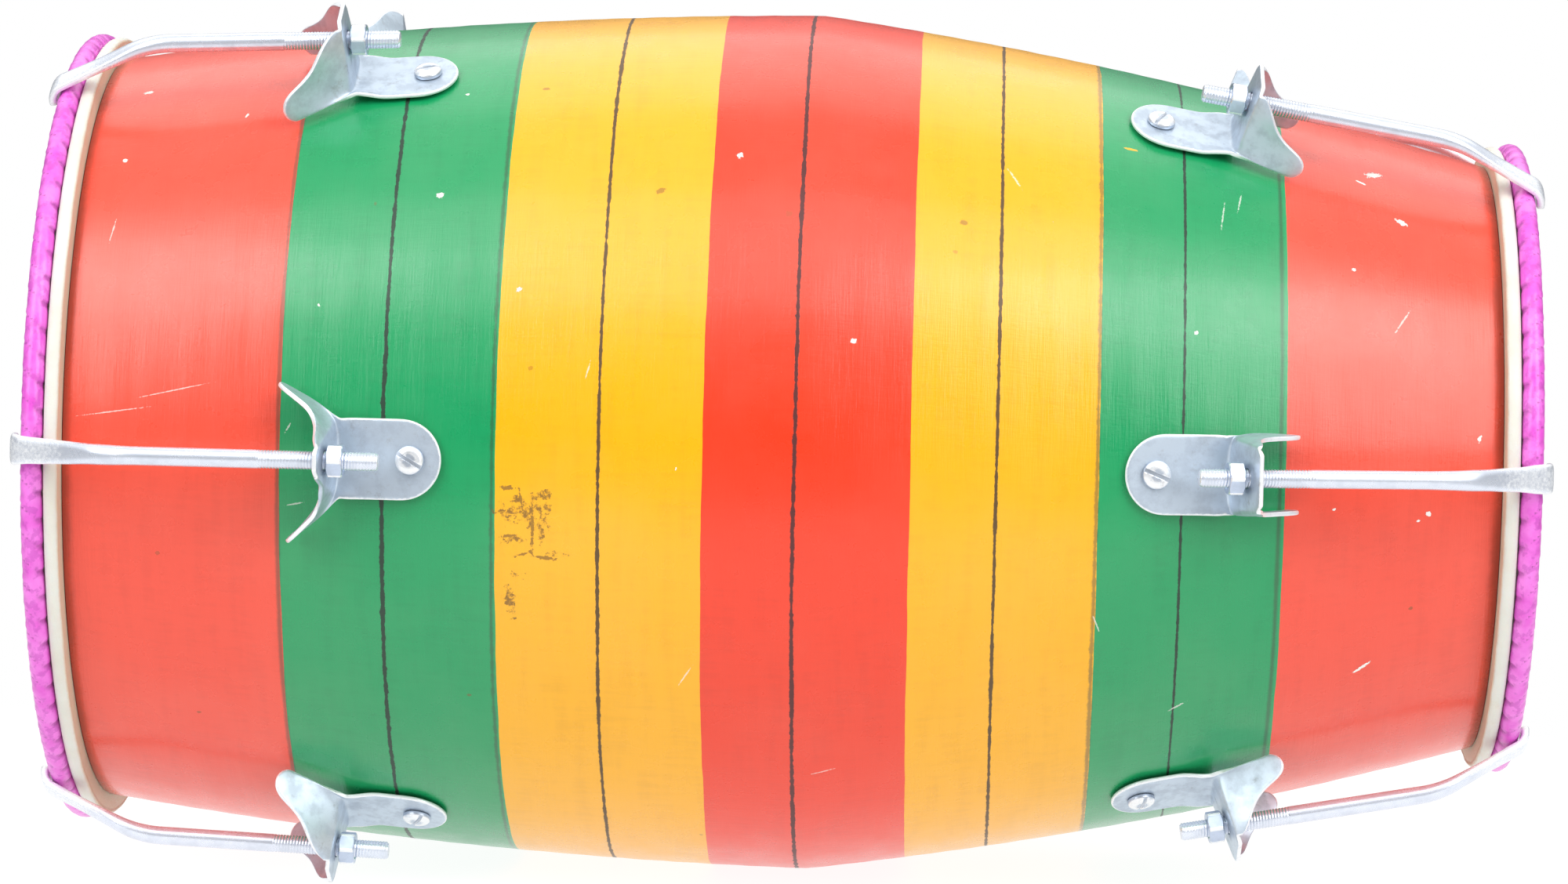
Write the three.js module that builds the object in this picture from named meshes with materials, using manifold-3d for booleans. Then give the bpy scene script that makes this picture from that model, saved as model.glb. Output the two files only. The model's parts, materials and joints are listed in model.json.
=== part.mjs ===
// A bolt-tuned barrel drum, lying on its side: a turned wooden shell with a large bass head at -X and a
// small treble head at +X. Each skin is lapped round a flesh hoop and pulled over the rim by a counter
// hoop, six flattened steel hooks, and six nuts that bear on folded brackets screwed to the shell.
// Millimetres, +X along the drum's axis towards the treble head, +Z up. The origin is on the axis,
// midway between the two counter hoops.
import * as THREE from "three";
import { mergeVertices } from "three/addons/utils/BufferGeometryUtils.js";
import Module from "manifold-3d";

// Shell
const hoopSpacing = 480.8; // from the middle of one counter hoop's bar to the middle of the other's
const bellyOffset = 7; // the widest place lies this far towards the treble head
const bellyRadius = 145.9;
const bassRimRadius = 125.75;
const trebleRimRadius = 98.4;
const rimStep = 0.8; // the rim is turned down by this much where the skin goes over it
const bassCrown = 4.1; // how far the bass half bulges beyond a straight taper
const trebleCrown = 4.3;
const rimWall = 10;
const bellyWall = 14;

// Skins and hoops
const bassSkin = 1;
const trebleSkin = 0.8;
const headRecess = 2.5; // the playing face lies this far inside the counter hoop's outer face
const headEdgeRound = 0.9;
const counterHoopBar = 7.3; // an iron ring of round bar with its tape
const lapWidth = 4.9; // the skin's lap round the flesh hoop, along the drum
const lapSetback = 0.95; // the lap's outside lies this far inside the counter hoop's outside
const lapBulge = 0.7;
const pasteRadius = 52;
const pasteThickness = 4;

// Hooks and nuts
const rodDiameter = 6;
const rodEndChamfer = 0.6;
const strapWidth = 9.8;
const strapThickness = 3;
const strapBendRadius = 35;
const strapBlend = 30; // the rod is beaten flat over this length
const lipReach = 2; // the lip goes this far down the counter hoop's face, past its shoulder
const lipTaper = 1.5;
const bassRodTail = 11; // the thread's end stands this far out of its nut
const trebleRodTail = 9;
const nutAcrossFlats = 10;
const nutSides = 6;
const nutThickness = 5;
const nutBoreClearance = 0.1;

// Brackets and screws
const bracketStation = 144.2; // the foot of the flange's outer face, from the middle of the drum
const sheet = 2;
const plateLength = 35.5;
const plateWidth = 26;
const flangeHeight = 27;
const flangeCorner = 2.5;
const foldInnerRadius = 1.2;
const rodHoleHeight = 16.2;
const rodHoleClearance = 0.4;
const wingReach = 21.5;
const wingRise = 0.9; // the wing's lower edge starts this far above the underside of the plate
const screwInset = 10; // from the plate's round end to its screw
const screwHeadDiameter = 9.2;
const screwHeadHeight = 2.5;
const screwLength = 11;
const screwShankDiameter = 3.8;
const screwPointLength = 4;
const screwClearance = 0.4;

// Fits
const fitGap = 0.3; // pieces that bear on each other stand this far apart
const overrun = 2; // cuts run this far past the faces that they leave
const mergeDistance = 0.0001;

// Angles
const stationCount = 6;
const firstStationDegrees = 30;
const bassRodTiltDegrees = 2.5;
const trebleRodTiltDegrees = 11;
const bassStrapSlopeDegrees = 27;
const trebleStrapSlopeDegrees = 32;
const bassFoldOpeningDegrees = 2.5; // beyond square: the nuts pull the flanges towards the head
const trebleFoldOpeningDegrees = 7.5;
const bassWingSplayDegrees = [30, 38, 30, 30, 44, 30];
const trebleWingSplayDegrees = [12, 6, 12, 12, 8, 12];

// Shares
const bassFlangeTopShares = [0.66, 0.5, 0.66, 0.66, 0.42, 0.66]; // of the plate's width
const trebleFlangeTopShares = [0.8, 0.84, 0.8, 0.8, 0.82, 0.8];
const bassShiftShares = [0, 0, 0, 0.06, -0.03, 0.07]; // of the plate's length, towards its head
const trebleShiftShares = [0.01, -0.02, -0.02, 0, 0, 0];
const wingEdgeShares = [
  [0.93, 0.02],
  [1, 0.18],
  [0.84, 0.34],
  [0.58, 0.48],
  [0.4, 0.7],
  [0.33, 0.88],
  [0, 1],
]; // the wing's free edge: out along its reach, up along the flange
const pasteEdgeShares = [
  [1, 0.2],
  [0.7, 0.75],
]; // across the paste's radius, and up through its thickness
const screwDomeShares = [
  [1, 0.35],
  [0.86, 0.8],
  [0.5, 1],
]; // across the head's radius, and up through its height
const sectionSquareShare = 0.35; // how far a beaten section goes from an ellipse towards a rectangle

// Facets
const roundSegments = 48;
const pasteSegments = 24;
const crownSegments = 4;
const barSegments = 8;
const sectionSegments = 8;
const bendSegments = 4;
const wrapSegments = 3;
const foldSegments = 4;
const plateEndSegments = 8;
const holeSegments = 10;
const screwSegments = 8;
const pilotSegments = 6;
const wingFoldSegments = 6;
const wingEdgeSegments = 8;

const wasm = await Module();
wasm.setup();

const radians = THREE.MathUtils.degToRad;
const point = (x, y) => new THREE.Vector2(x, y);

const steel = new THREE.MeshStandardMaterial({ color: 0xcdd5db, roughness: 0.32, metalness: 1 });
const nutSteel = new THREE.MeshStandardMaterial({ color: 0xc4ccd6, roughness: 0.28, metalness: 1 });
const paint = new THREE.MeshStandardMaterial({ color: 0xf0432c, roughness: 0.3, metalness: 0 });
const rawhide = new THREE.MeshStandardMaterial({ color: 0xe8dfc8, roughness: 0.6, metalness: 0 });
const tape = new THREE.MeshStandardMaterial({ color: 0xe85fce, roughness: 0.4, metalness: 0 });
const iron = new THREE.MeshStandardMaterial({ color: 0x5a5652, roughness: 0.6, metalness: 0.8 });
const pasteBlack = new THREE.MeshStandardMaterial({ color: 0x1d1a19, roughness: 0.8, metalness: 0 });

const hoopStation = hoopSpacing / 2;
const barRadius = counterHoopBar / 2;
const rodRadius = rodDiameter / 2;
const nutCornerRadius = nutAcrossFlats / 2 / Math.cos(Math.PI / nutSides);

// What differs between the two ends. Lengths along the drum are counted from its middle towards the head.
const bass = {
  name: "bass",
  bellyStation: -bellyOffset,
  rimRadius: bassRimRadius,
  crown: bassCrown,
  skin: bassSkin,
  rodTilt: radians(bassRodTiltDegrees),
  strapSlope: radians(bassStrapSlopeDegrees),
  rodTail: bassRodTail,
  foldOpening: radians(bassFoldOpeningDegrees),
  shiftShares: bassShiftShares,
  splays: bassWingSplayDegrees,
  topShares: bassFlangeTopShares,
};
const treble = {
  name: "treble",
  bellyStation: bellyOffset,
  rimRadius: trebleRimRadius,
  crown: trebleCrown,
  skin: trebleSkin,
  rodTilt: radians(trebleRodTiltDegrees),
  strapSlope: radians(trebleStrapSlopeDegrees),
  rodTail: trebleRodTail,
  foldOpening: radians(trebleFoldOpeningDegrees),
  shiftShares: trebleShiftShares,
  splays: trebleWingSplayDegrees,
  topShares: trebleFlangeTopShares,
};

for (const end of [bass, treble]) {
  end.hoopRadius = end.rimRadius + fitGap + end.skin + fitGap + barRadius;
  end.faceStation = hoopStation + barRadius - headRecess;
  end.rimStation = end.faceStation - end.skin - fitGap;
  end.lapTop = hoopStation - barRadius - fitGap;
  end.lapBottom = end.lapTop - lapWidth;
  end.lapRadius = end.hoopRadius + barRadius - lapSetback;
  end.shoulderStation = end.lapBottom - fitGap;
  end.shoulderRadius = end.rimRadius + rimStep;
}

// The circle that passes through the belly and the rim's shoulder and bulges by the crown between them.
function crownArc(end) {
  const belly = point(end.bellyStation, bellyRadius);
  const shoulder = point(end.shoulderStation, end.shoulderRadius);
  const chord = shoulder.clone().sub(belly);
  const radius = (chord.length() ** 2 / 4 + end.crown ** 2) / (2 * end.crown);
  const inward = point(chord.y, -chord.x).normalize();
  const middle = belly.clone().lerp(shoulder, 0.5);
  const centre = middle.addScaledVector(inward, radius - end.crown);
  const from = belly.clone().sub(centre).angle();
  const to = shoulder.clone().sub(centre).angle();
  return { centre, radius, from, to };
}

for (const end of [bass, treble]) end.arc = crownArc(end);

// The shell's outside at one place along the drum: its radius, and how steeply it falls towards the head.
function shellSurface(end, station) {
  const across = station - end.arc.centre.x;
  const up = Math.sqrt(end.arc.radius ** 2 - across ** 2);
  return { radius: end.arc.centre.y + up, fall: Math.atan(across / up) };
}

// A closed geometry as a solid that can be joined and cut, and back again.
function solidOf(geometry) {
  const bare = geometry.clone();
  bare.deleteAttribute("normal");
  bare.deleteAttribute("uv");
  const merged = mergeVertices(bare, mergeDistance);
  const mesh = new wasm.Mesh({
    numProp: 3,
    vertProperties: merged.attributes.position.array,
    triVerts: new Uint32Array(merged.index.array),
  });
  return new wasm.Manifold(mesh);
}

function geometryOf(solid) {
  const mesh = solid.getMesh();
  const geometry = new THREE.BufferGeometry();
  geometry.setAttribute("position", new THREE.BufferAttribute(mesh.vertProperties, 3));
  geometry.setIndex(new THREE.BufferAttribute(mesh.triVerts, 1));
  geometry.computeVertexNormals();
  return geometry;
}

// A ring or disc about the X axis, from an outline of stations and radii.
function turned(outline, segments) {
  const profile = outline.map((place) => point(place.y, place.x));
  return new THREE.LatheGeometry(profile, segments).rotateZ(-Math.PI / 2);
}

// An outline extruded along +Z by the depth, starting at z = 0, with each arc cut into so many pieces.
function extruded(shape, depth, arcPieces = 2) {
  return new THREE.ExtrudeGeometry(shape, { depth, bevelEnabled: false, curveSegments: arcPieces / 2 });
}

// A round bar along +X, centred on the origin.
function roundBar(radius, length, segments) {
  return new THREE.CylinderGeometry(radius, radius, length, segments).rotateZ(-Math.PI / 2);
}

function outerOutline(end, side) {
  const outline = [];
  for (let i = 0; i <= crownSegments; i++) {
    const angle = THREE.MathUtils.lerp(end.arc.from, end.arc.to, i / crownSegments);
    const station = end.arc.centre.x + end.arc.radius * Math.cos(angle);
    outline.push(point(side * station, end.arc.centre.y + end.arc.radius * Math.sin(angle)));
  }
  outline.push(point(side * end.shoulderStation, end.rimRadius));
  outline.push(point(side * end.rimStation, end.rimRadius));
  return outline;
}

// One pilot hole for each screw, straight into the shell's wall.
function drillPilots(shell, end, turn) {
  for (let k = 0; k < stationCount; k++) {
    const hole = roundBar(screwShankDiameter / 2 + screwClearance, screwDepth() * 2, pilotSegments);
    hole.rotateY(Math.PI / 2).applyMatrix4(screwFrame(end, k));
    hole.rotateX(stationAngle(k)).rotateZ(turn);
    shell = shell.subtract(solidOf(hole));
  }
  return shell;
}

function makeShell() {
  const outside = [...outerOutline(bass, -1).reverse(), ...outerOutline(treble, 1).slice(1)];
  const inside = [
    point(treble.rimStation, trebleRimRadius - rimWall),
    point(bellyOffset, bellyRadius - bellyWall),
    point(-bass.rimStation, bassRimRadius - rimWall),
  ];
  const outline = [...outside, ...inside, outside[0]];
  let shell = solidOf(turned(outline, roundSegments));
  shell = drillPilots(shell, bass, Math.PI);
  shell = drillPilots(shell, treble, 0);
  return geometryOf(shell);
}

// The skin: a flat playing face, a collar down the rim, and a lap round the flesh hoop.
function makeSkin(end) {
  const collar = end.rimRadius + fitGap;
  const outside = collar + end.skin;
  const lapInside = end.lapRadius - end.skin;
  const outline = [
    point(end.faceStation - end.skin, 0),
    point(end.faceStation - end.skin, collar),
    point(end.lapTop - end.skin, collar),
    point(end.lapTop - end.skin, lapInside),
    point(end.lapBottom + end.skin, lapInside),
    point(end.lapBottom + end.skin, collar),
    point(end.lapBottom, collar),
    point(end.lapBottom, end.lapRadius - lapBulge),
    point((end.lapBottom + end.lapTop) / 2, end.lapRadius),
    point(end.lapTop, end.lapRadius - lapBulge),
    point(end.lapTop, outside),
    point(end.faceStation - headEdgeRound, outside),
    point(end.faceStation, outside - headEdgeRound),
    point(end.faceStation, 0),
  ];
  return turned(outline, roundSegments);
}

function makeFleshHoop(end) {
  const inner = end.rimRadius + fitGap * 2;
  const outer = end.lapRadius - lapBulge - end.skin - fitGap;
  const top = end.lapTop - end.skin - fitGap;
  const bottom = end.lapBottom + end.skin + fitGap;
  const outline = [point(bottom, inner), point(bottom, outer), point(top, outer), point(top, inner)];
  return turned([...outline, outline[0]], roundSegments);
}

function makeCounterHoop(end) {
  const ring = new THREE.TorusGeometry(end.hoopRadius, barRadius, barSegments, roundSegments);
  return ring.rotateY(Math.PI / 2).translate(hoopStation, 0, 0);
}

// A lens of tuning paste on the inside of the bass skin.
function makePaste(end) {
  const back = end.faceStation - end.skin - fitGap;
  const rise = pasteEdgeShares.map(([across, up]) => point(back - pasteThickness * up, pasteRadius * across));
  const front = point(back - pasteThickness, 0);
  const outline = [front, ...rise.reverse(), point(back, pasteRadius), point(back, 0)];
  return turned(outline, pasteSegments);
}

// Where the middle of a bracket's plate lies along the drum, and the shell's surface there.
function plateSeat(end, k) {
  const station = bracketStation + plateLength * (end.shiftShares[k] - 1 / 2);
  return { station, ...shellSurface(end, station) };
}

// The bracket's own frame: x towards the head, z out of the shell, with the origin at the foot of the
// flange's outer face. The plate lies along the shell, tangent at the middle of its length.
function bracketFrame(end, k) {
  const seat = plateSeat(end, k);
  const frame = new THREE.Matrix4().makeRotationY(seat.fall);
  const middle = new THREE.Vector3(seat.station, 0, seat.radius);
  const origin = new THREE.Vector3(plateLength / 2, 0, fitGap).applyMatrix4(frame).add(middle);
  return frame.setPosition(origin);
}

// The flange's own frame, within the bracket's: z up its outer face, which leans towards the head.
function flangeFrame(end) {
  return new THREE.Matrix4().makeRotationY(end.foldOpening);
}

// The screw's own frame: z out of the shell, with the origin on top of the plate.
function screwFrame(end, k) {
  const place = new THREE.Matrix4().makeTranslation(-plateLength + screwInset, 0, sheet);
  return bracketFrame(end, k).multiply(place);
}

// How far the screw's point and the space past it reach below the top of the plate.
function screwDepth() {
  return screwLength + screwClearance;
}

// The rod's own frame: x along the rod towards the head, with the origin in the middle of its hole.
function rodFrame(end, k) {
  const hole = new THREE.Vector3(-sheet / 2, 0, rodHoleHeight).applyMatrix4(flangeFrame(end));
  hole.applyMatrix4(bracketFrame(end, k));
  return new THREE.Matrix4().makeRotationY(end.rodTilt).setPosition(hole);
}

function stationAngle(k) {
  return radians(firstStationDegrees + (k * 360) / stationCount);
}

// The plate and the flange as one bent strip, seen from the side.
function bracketSide(end) {
  const outerRadius = foldInnerRadius + sheet;
  const lean = end.foldOpening;
  const foldX = -outerRadius * Math.tan((Math.PI / 2 - lean) / 2);
  const through = point(Math.cos(lean), -Math.sin(lean));
  const top = point(Math.sin(lean), Math.cos(lean)).multiplyScalar(flangeHeight);
  const topInside = top.clone().addScaledVector(through, -sheet);
  const shape = new THREE.Shape();
  shape.moveTo(-plateLength, 0);
  shape.lineTo(foldX, 0);
  shape.absarc(foldX, outerRadius, outerRadius, -Math.PI / 2, -lean, false);
  shape.lineTo(top.x, top.y);
  shape.lineTo(topInside.x, topInside.y);
  shape.lineTo(foldX + through.x * foldInnerRadius, outerRadius + through.y * foldInnerRadius);
  shape.absarc(foldX, outerRadius, foldInnerRadius, -lean, -Math.PI / 2, true);
  shape.lineTo(-plateLength, sheet);
  return shape;
}

// The plate's outline from above, with its round end.
function bracketPlan() {
  const half = plateWidth / 2;
  const shape = new THREE.Shape();
  shape.moveTo(flangeHeight, -half);
  shape.lineTo(flangeHeight, half);
  shape.lineTo(half - plateLength, half);
  shape.absarc(half - plateLength, 0, half, Math.PI / 2, -Math.PI / 2, false);
  return shape;
}

// The flange's outline from the front: as wide as the plate at the fold, narrower at the top. It goes on
// down so that it clears the whole plate.
function bracketFront(topHalf) {
  const half = plateWidth / 2;
  const shape = new THREE.Shape();
  shape.moveTo(-half, -plateLength);
  shape.lineTo(half, -plateLength);
  shape.lineTo(half, wingRise);
  shape.lineTo(topHalf, flangeHeight - flangeCorner);
  shape.lineTo(topHalf - flangeCorner, flangeHeight);
  shape.lineTo(flangeCorner - topHalf, flangeHeight);
  shape.lineTo(-topHalf, flangeHeight - flangeCorner);
  shape.lineTo(-half, wingRise);
  return shape;
}

// The line that a wing is folded on: the middle of the sheet along the flange's slanting edge.
function wingFoldLine(side, topHalf) {
  const inset = sheet / 2;
  const foot = new THREE.Vector3(-inset, side * (plateWidth / 2 - inset), wingRise);
  const head = new THREE.Vector3(-inset, side * (topHalf - inset), flangeHeight - flangeCorner);
  return { foot, head, along: head.clone().sub(foot).normalize(), length: head.distanceTo(foot) };
}

// One wing, folded forward: a lobe that follows the shell, a waist and a neck.
function makeWing(end, k, side, topHalf) {
  const { foot, along, length } = wingFoldLine(side, topHalf);
  const splay = radians(end.splays[k]);
  const flat = new THREE.Vector3(0, side * along.z, -side * along.y);
  const out = flat.multiplyScalar(Math.sin(splay)).add(new THREE.Vector3(Math.cos(splay), 0, 0));
  const lean = flangeFrame(end);
  const tip = foot.clone().addScaledVector(out, wingReach).applyMatrix4(lean);
  const root = foot.clone().applyMatrix4(lean);
  const shellFall = (tip.y ** 2 - root.y ** 2) / (2 * plateSeat(end, k).radius);
  const drop = (tip.z - root.z + shellFall) / along.clone().applyMatrix4(lean).z;
  const shape = new THREE.Shape();
  shape.moveTo(0, 0);
  const free = wingEdgeShares.map(([reach, up]) => {
    return point(reach * wingReach, up * length - drop * reach * (1 - up));
  });
  const edge = new THREE.SplineCurve(free).getPoints(wingEdgeSegments);
  for (const place of edge) shape.lineTo(place.x, place.y);
  const through = new THREE.Vector3().crossVectors(out, along);
  const place = lean.multiply(new THREE.Matrix4().makeBasis(out, along, through).setPosition(foot));
  return extruded(shape, sheet).translate(0, 0, -sheet / 2).applyMatrix4(place);
}

// The rounded outside of the fold between the flange and a wing.
function makeWingFold(end, side, topHalf) {
  const { foot, head, along, length } = wingFoldLine(side, topHalf);
  const bar = new THREE.CylinderGeometry(sheet / 2, sheet / 2, length, wingFoldSegments);
  bar.applyQuaternion(new THREE.Quaternion().setFromUnitVectors(new THREE.Vector3(0, 1, 0), along));
  return bar.translate(...foot.lerp(head, 0.5)).applyMatrix4(flangeFrame(end));
}

function makeBracket(end, k) {
  const topHalf = (plateWidth * end.topShares[k]) / 2;
  const side = extruded(bracketSide(end), plateWidth, foldSegments);
  side.translate(0, 0, -plateWidth / 2).rotateX(Math.PI / 2);
  const plan = extruded(bracketPlan(), flangeHeight + overrun * 2, plateEndSegments);
  plan.translate(0, 0, -overrun);
  const front = extruded(bracketFront(topHalf), plateLength + overrun * 2);
  front.rotateX(Math.PI / 2).rotateZ(Math.PI / 2).translate(-plateLength - overrun, 0, 0);
  front.applyMatrix4(flangeFrame(end));
  let bracket = solidOf(side).intersect(solidOf(plan)).intersect(solidOf(front));
  for (const hand of [-1, 1]) {
    bracket = bracket.add(solidOf(makeWing(end, k, hand, topHalf)));
    bracket = bracket.add(solidOf(makeWingFold(end, hand, topHalf)));
  }
  const rodHole = roundBar(rodRadius + rodHoleClearance, sheet * 2 + overrun, holeSegments);
  const tilt = bracketFrame(end, k).invert().multiply(rodFrame(end, k));
  bracket = bracket.subtract(solidOf(rodHole.applyMatrix4(tilt)));
  const screwHole = roundBar(screwShankDiameter / 2 + screwClearance, sheet + overrun * 2, pilotSegments);
  screwHole.rotateY(Math.PI / 2).translate(screwInset - plateLength, 0, sheet / 2);
  return geometryOf(bracket.subtract(solidOf(screwHole)));
}

// A pan-head wood screw, with its seat at z = 0.
function makeScrew() {
  const shank = screwShankDiameter / 2;
  const head = screwHeadDiameter / 2;
  const dome = screwDomeShares.map(([across, up]) => point(head * across, fitGap + screwHeadHeight * up));
  const profile = [
    point(0, -screwLength),
    point(shank, screwPointLength - screwLength),
    point(shank, fitGap),
    point(head, fitGap),
    ...dome,
    point(0, fitGap + screwHeadHeight),
  ];
  return new THREE.LatheGeometry(profile, screwSegments).rotateX(Math.PI / 2);
}

function makeNut() {
  const shape = new THREE.Shape();
  for (let i = 0; i < nutSides; i++) {
    const angle = (2 * Math.PI * i) / nutSides;
    const corner = point(Math.cos(angle), Math.sin(angle)).multiplyScalar(nutCornerRadius);
    if (i === 0) shape.moveTo(corner.x, corner.y);
    else shape.lineTo(corner.x, corner.y);
  }
  const bore = (rodRadius + nutBoreClearance) / Math.cos(Math.PI / holeSegments);
  const hole = new THREE.Path().absarc(0, 0, bore, 0, Math.PI * 2, false);
  shape.holes.push(hole);
  return extruded(shape, nutThickness, holeSegments).rotateY(-Math.PI / 2);
}

// How far the nut's bearing face stands behind the middle of the flange's hole, along the rod.
function nutSetback(end, k) {
  const lean = Math.abs(end.rodTilt - plateSeat(end, k).fall - end.foldOpening);
  return sheet / 2 / Math.cos(lean) + fitGap + nutCornerRadius * Math.sin(lean);
}

// The hook's middle line, in stations and radii: the straight rod, a bend, the sloping strap, the wrap
// over the counter hoop's shoulder, and the lip down its face.
function hookLine(end, k) {
  const start = new THREE.Vector3(-nutSetback(end, k) - nutThickness - end.rodTail, 0, 0);
  start.applyMatrix4(rodFrame(end, k));
  const tail = point(start.x, start.z);
  const rodWay = point(Math.cos(end.rodTilt), -Math.sin(end.rodTilt));
  const strapWay = point(Math.cos(end.strapSlope), -Math.sin(end.strapSlope));
  const hoop = point(hoopStation, end.hoopRadius);
  const wrapRadius = barRadius + fitGap + strapThickness / 2;
  const outOfStrap = point(-strapWay.y, strapWay.x);
  const touch = hoop.clone().addScaledVector(outOfStrap, wrapRadius);
  const along = touch.clone().sub(tail).cross(strapWay) / rodWay.cross(strapWay);
  const corner = tail.clone().addScaledVector(rodWay, along);
  const turn = end.strapSlope - end.rodTilt;
  const tangent = strapBendRadius * Math.tan(turn / 2);
  const bendStart = corner.clone().addScaledVector(rodWay, -tangent);
  const bendCentre = bendStart.clone().addScaledVector(point(-rodWay.y, rodWay.x), -strapBendRadius);
  const line = [];
  const put = (place, heading) => line.push({ place, heading });
  put(tail, end.rodTilt);
  put(tail.clone().addScaledVector(rodWay, rodEndChamfer), end.rodTilt);
  for (let i = 0; i <= bendSegments; i++) {
    const heading = end.rodTilt + (turn * i) / bendSegments;
    const spoke = point(Math.sin(heading), Math.cos(heading)).multiplyScalar(strapBendRadius);
    put(bendCentre.clone().add(spoke), heading);
  }
  for (let i = 0; i <= wrapSegments; i++) {
    const heading = THREE.MathUtils.lerp(end.strapSlope, Math.PI / 2, i / wrapSegments);
    put(hoop.clone().addScaledVector(point(Math.sin(heading), Math.cos(heading)), wrapRadius), heading);
  }
  const lip = line[line.length - 1].place;
  put(lip.clone().add(point(0, -lipReach)), Math.PI / 2);
  return line;
}

// One beaten section, as offsets across the drum and out from the middle line.
function hookSection(halfWidth, halfThickness, flatness) {
  const offsets = [];
  for (let i = 0; i < sectionSegments; i++) {
    const angle = (2 * Math.PI * i) / sectionSegments;
    const squared = 1 / Math.max(Math.abs(Math.cos(angle)), Math.abs(Math.sin(angle)));
    const grow = THREE.MathUtils.lerp(1, Math.min(squared, Math.SQRT2), flatness * sectionSquareShare);
    offsets.push(point(halfWidth * Math.cos(angle) * grow, halfThickness * Math.sin(angle)));
  }
  return offsets;
}

// Rings of points joined into one closed tube.
function loft(rings) {
  const count = rings[0].length;
  const positions = rings.flat().flatMap((place) => place.toArray());
  const index = [];
  for (let r = 0; r + 1 < rings.length; r++)
    for (let i = 0; i < count; i++) {
      const a = r * count + i;
      const b = r * count + ((i + 1) % count);
      index.push(a, b, b + count, a, b + count, a + count);
    }
  for (let i = 1; i + 1 < count; i++) {
    const last = (rings.length - 1) * count;
    index.push(0, i + 1, i, last, last + i, last + i + 1);
  }
  const geometry = new THREE.BufferGeometry();
  geometry.setAttribute("position", new THREE.Float32BufferAttribute(positions, 3));
  geometry.setIndex(index);
  geometry.computeVertexNormals();
  return geometry;
}

function makeHook(end, k) {
  const line = hookLine(end, k);
  let run = 0;
  const runs = line.map((step, i) => (run += i ? step.place.distanceTo(line[i - 1].place) : 0));
  const flatFrom = runs[runs.length - 1] - strapBlend - lipReach;
  const rings = line.map((step, i) => {
    const flatness = THREE.MathUtils.smoothstep(runs[i], flatFrom, flatFrom + strapBlend);
    let halfWidth = THREE.MathUtils.lerp(rodRadius, strapWidth / 2, flatness);
    let halfThickness = THREE.MathUtils.lerp(rodRadius, strapThickness / 2, flatness);
    if (i === 0) halfWidth = halfThickness = rodRadius - rodEndChamfer;
    if (i === line.length - 1) halfWidth -= lipTaper;
    const outward = point(Math.sin(step.heading), Math.cos(step.heading));
    return hookSection(halfWidth, halfThickness, flatness).map(
      (offset) =>
        new THREE.Vector3(step.place.x + outward.x * offset.y, offset.x, step.place.y + outward.y * offset.y),
    );
  });
  return loft(rings);
}

function addPiece(group, name, geometry, material) {
  const mesh = new THREE.Mesh(geometry, material);
  mesh.name = name;
  group.add(mesh);
  return mesh;
}

// One tuning station: a bracket, its screw, a hook and a nut, in the plane that holds the drum's axis.
function makeStation(end, k) {
  const station = new THREE.Group();
  station.rotation.x = stationAngle(k);
  const bracket = new THREE.Group();
  bracket.applyMatrix4(bracketFrame(end, k));
  station.add(bracket);
  addPiece(bracket, `${end.name}_bracket_${k + 1}`, makeBracket(end, k), steel);
  const screw = addPiece(bracket, `${end.name}_screw_${k + 1}`, makeScrew(), nutSteel);
  screw.position.set(screwInset - plateLength, 0, sheet);
  addPiece(station, `${end.name}_hook_${k + 1}`, makeHook(end, k), steel);
  const rod = new THREE.Group();
  rod.applyMatrix4(rodFrame(end, k));
  station.add(rod);
  const nut = addPiece(rod, `${end.name}_nut_${k + 1}`, makeNut(), nutSteel);
  nut.position.x = -nutSetback(end, k);
  return station;
}

function makeHead(end) {
  const head = new THREE.Group();
  addPiece(head, `${end.name}_skin`, makeSkin(end), rawhide);
  addPiece(head, `${end.name}_flesh_hoop`, makeFleshHoop(end), iron);
  addPiece(head, `${end.name}_counter_hoop`, makeCounterHoop(end), tape);
  for (let k = 0; k < stationCount; k++) head.add(makeStation(end, k));
  return head;
}

const drum = new THREE.Group();
addPiece(drum, "shell", makeShell(), paint);
const bassHead = makeHead(bass);
bassHead.rotation.z = Math.PI;
addPiece(bassHead, "bass_tuning_paste", makePaste(bass), pasteBlack);
drum.add(bassHead, makeHead(treble));

export default drum;
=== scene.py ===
import json
import math

import bmesh
import bpy
import numpy as np
from mathutils import Matrix, Vector


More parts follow.
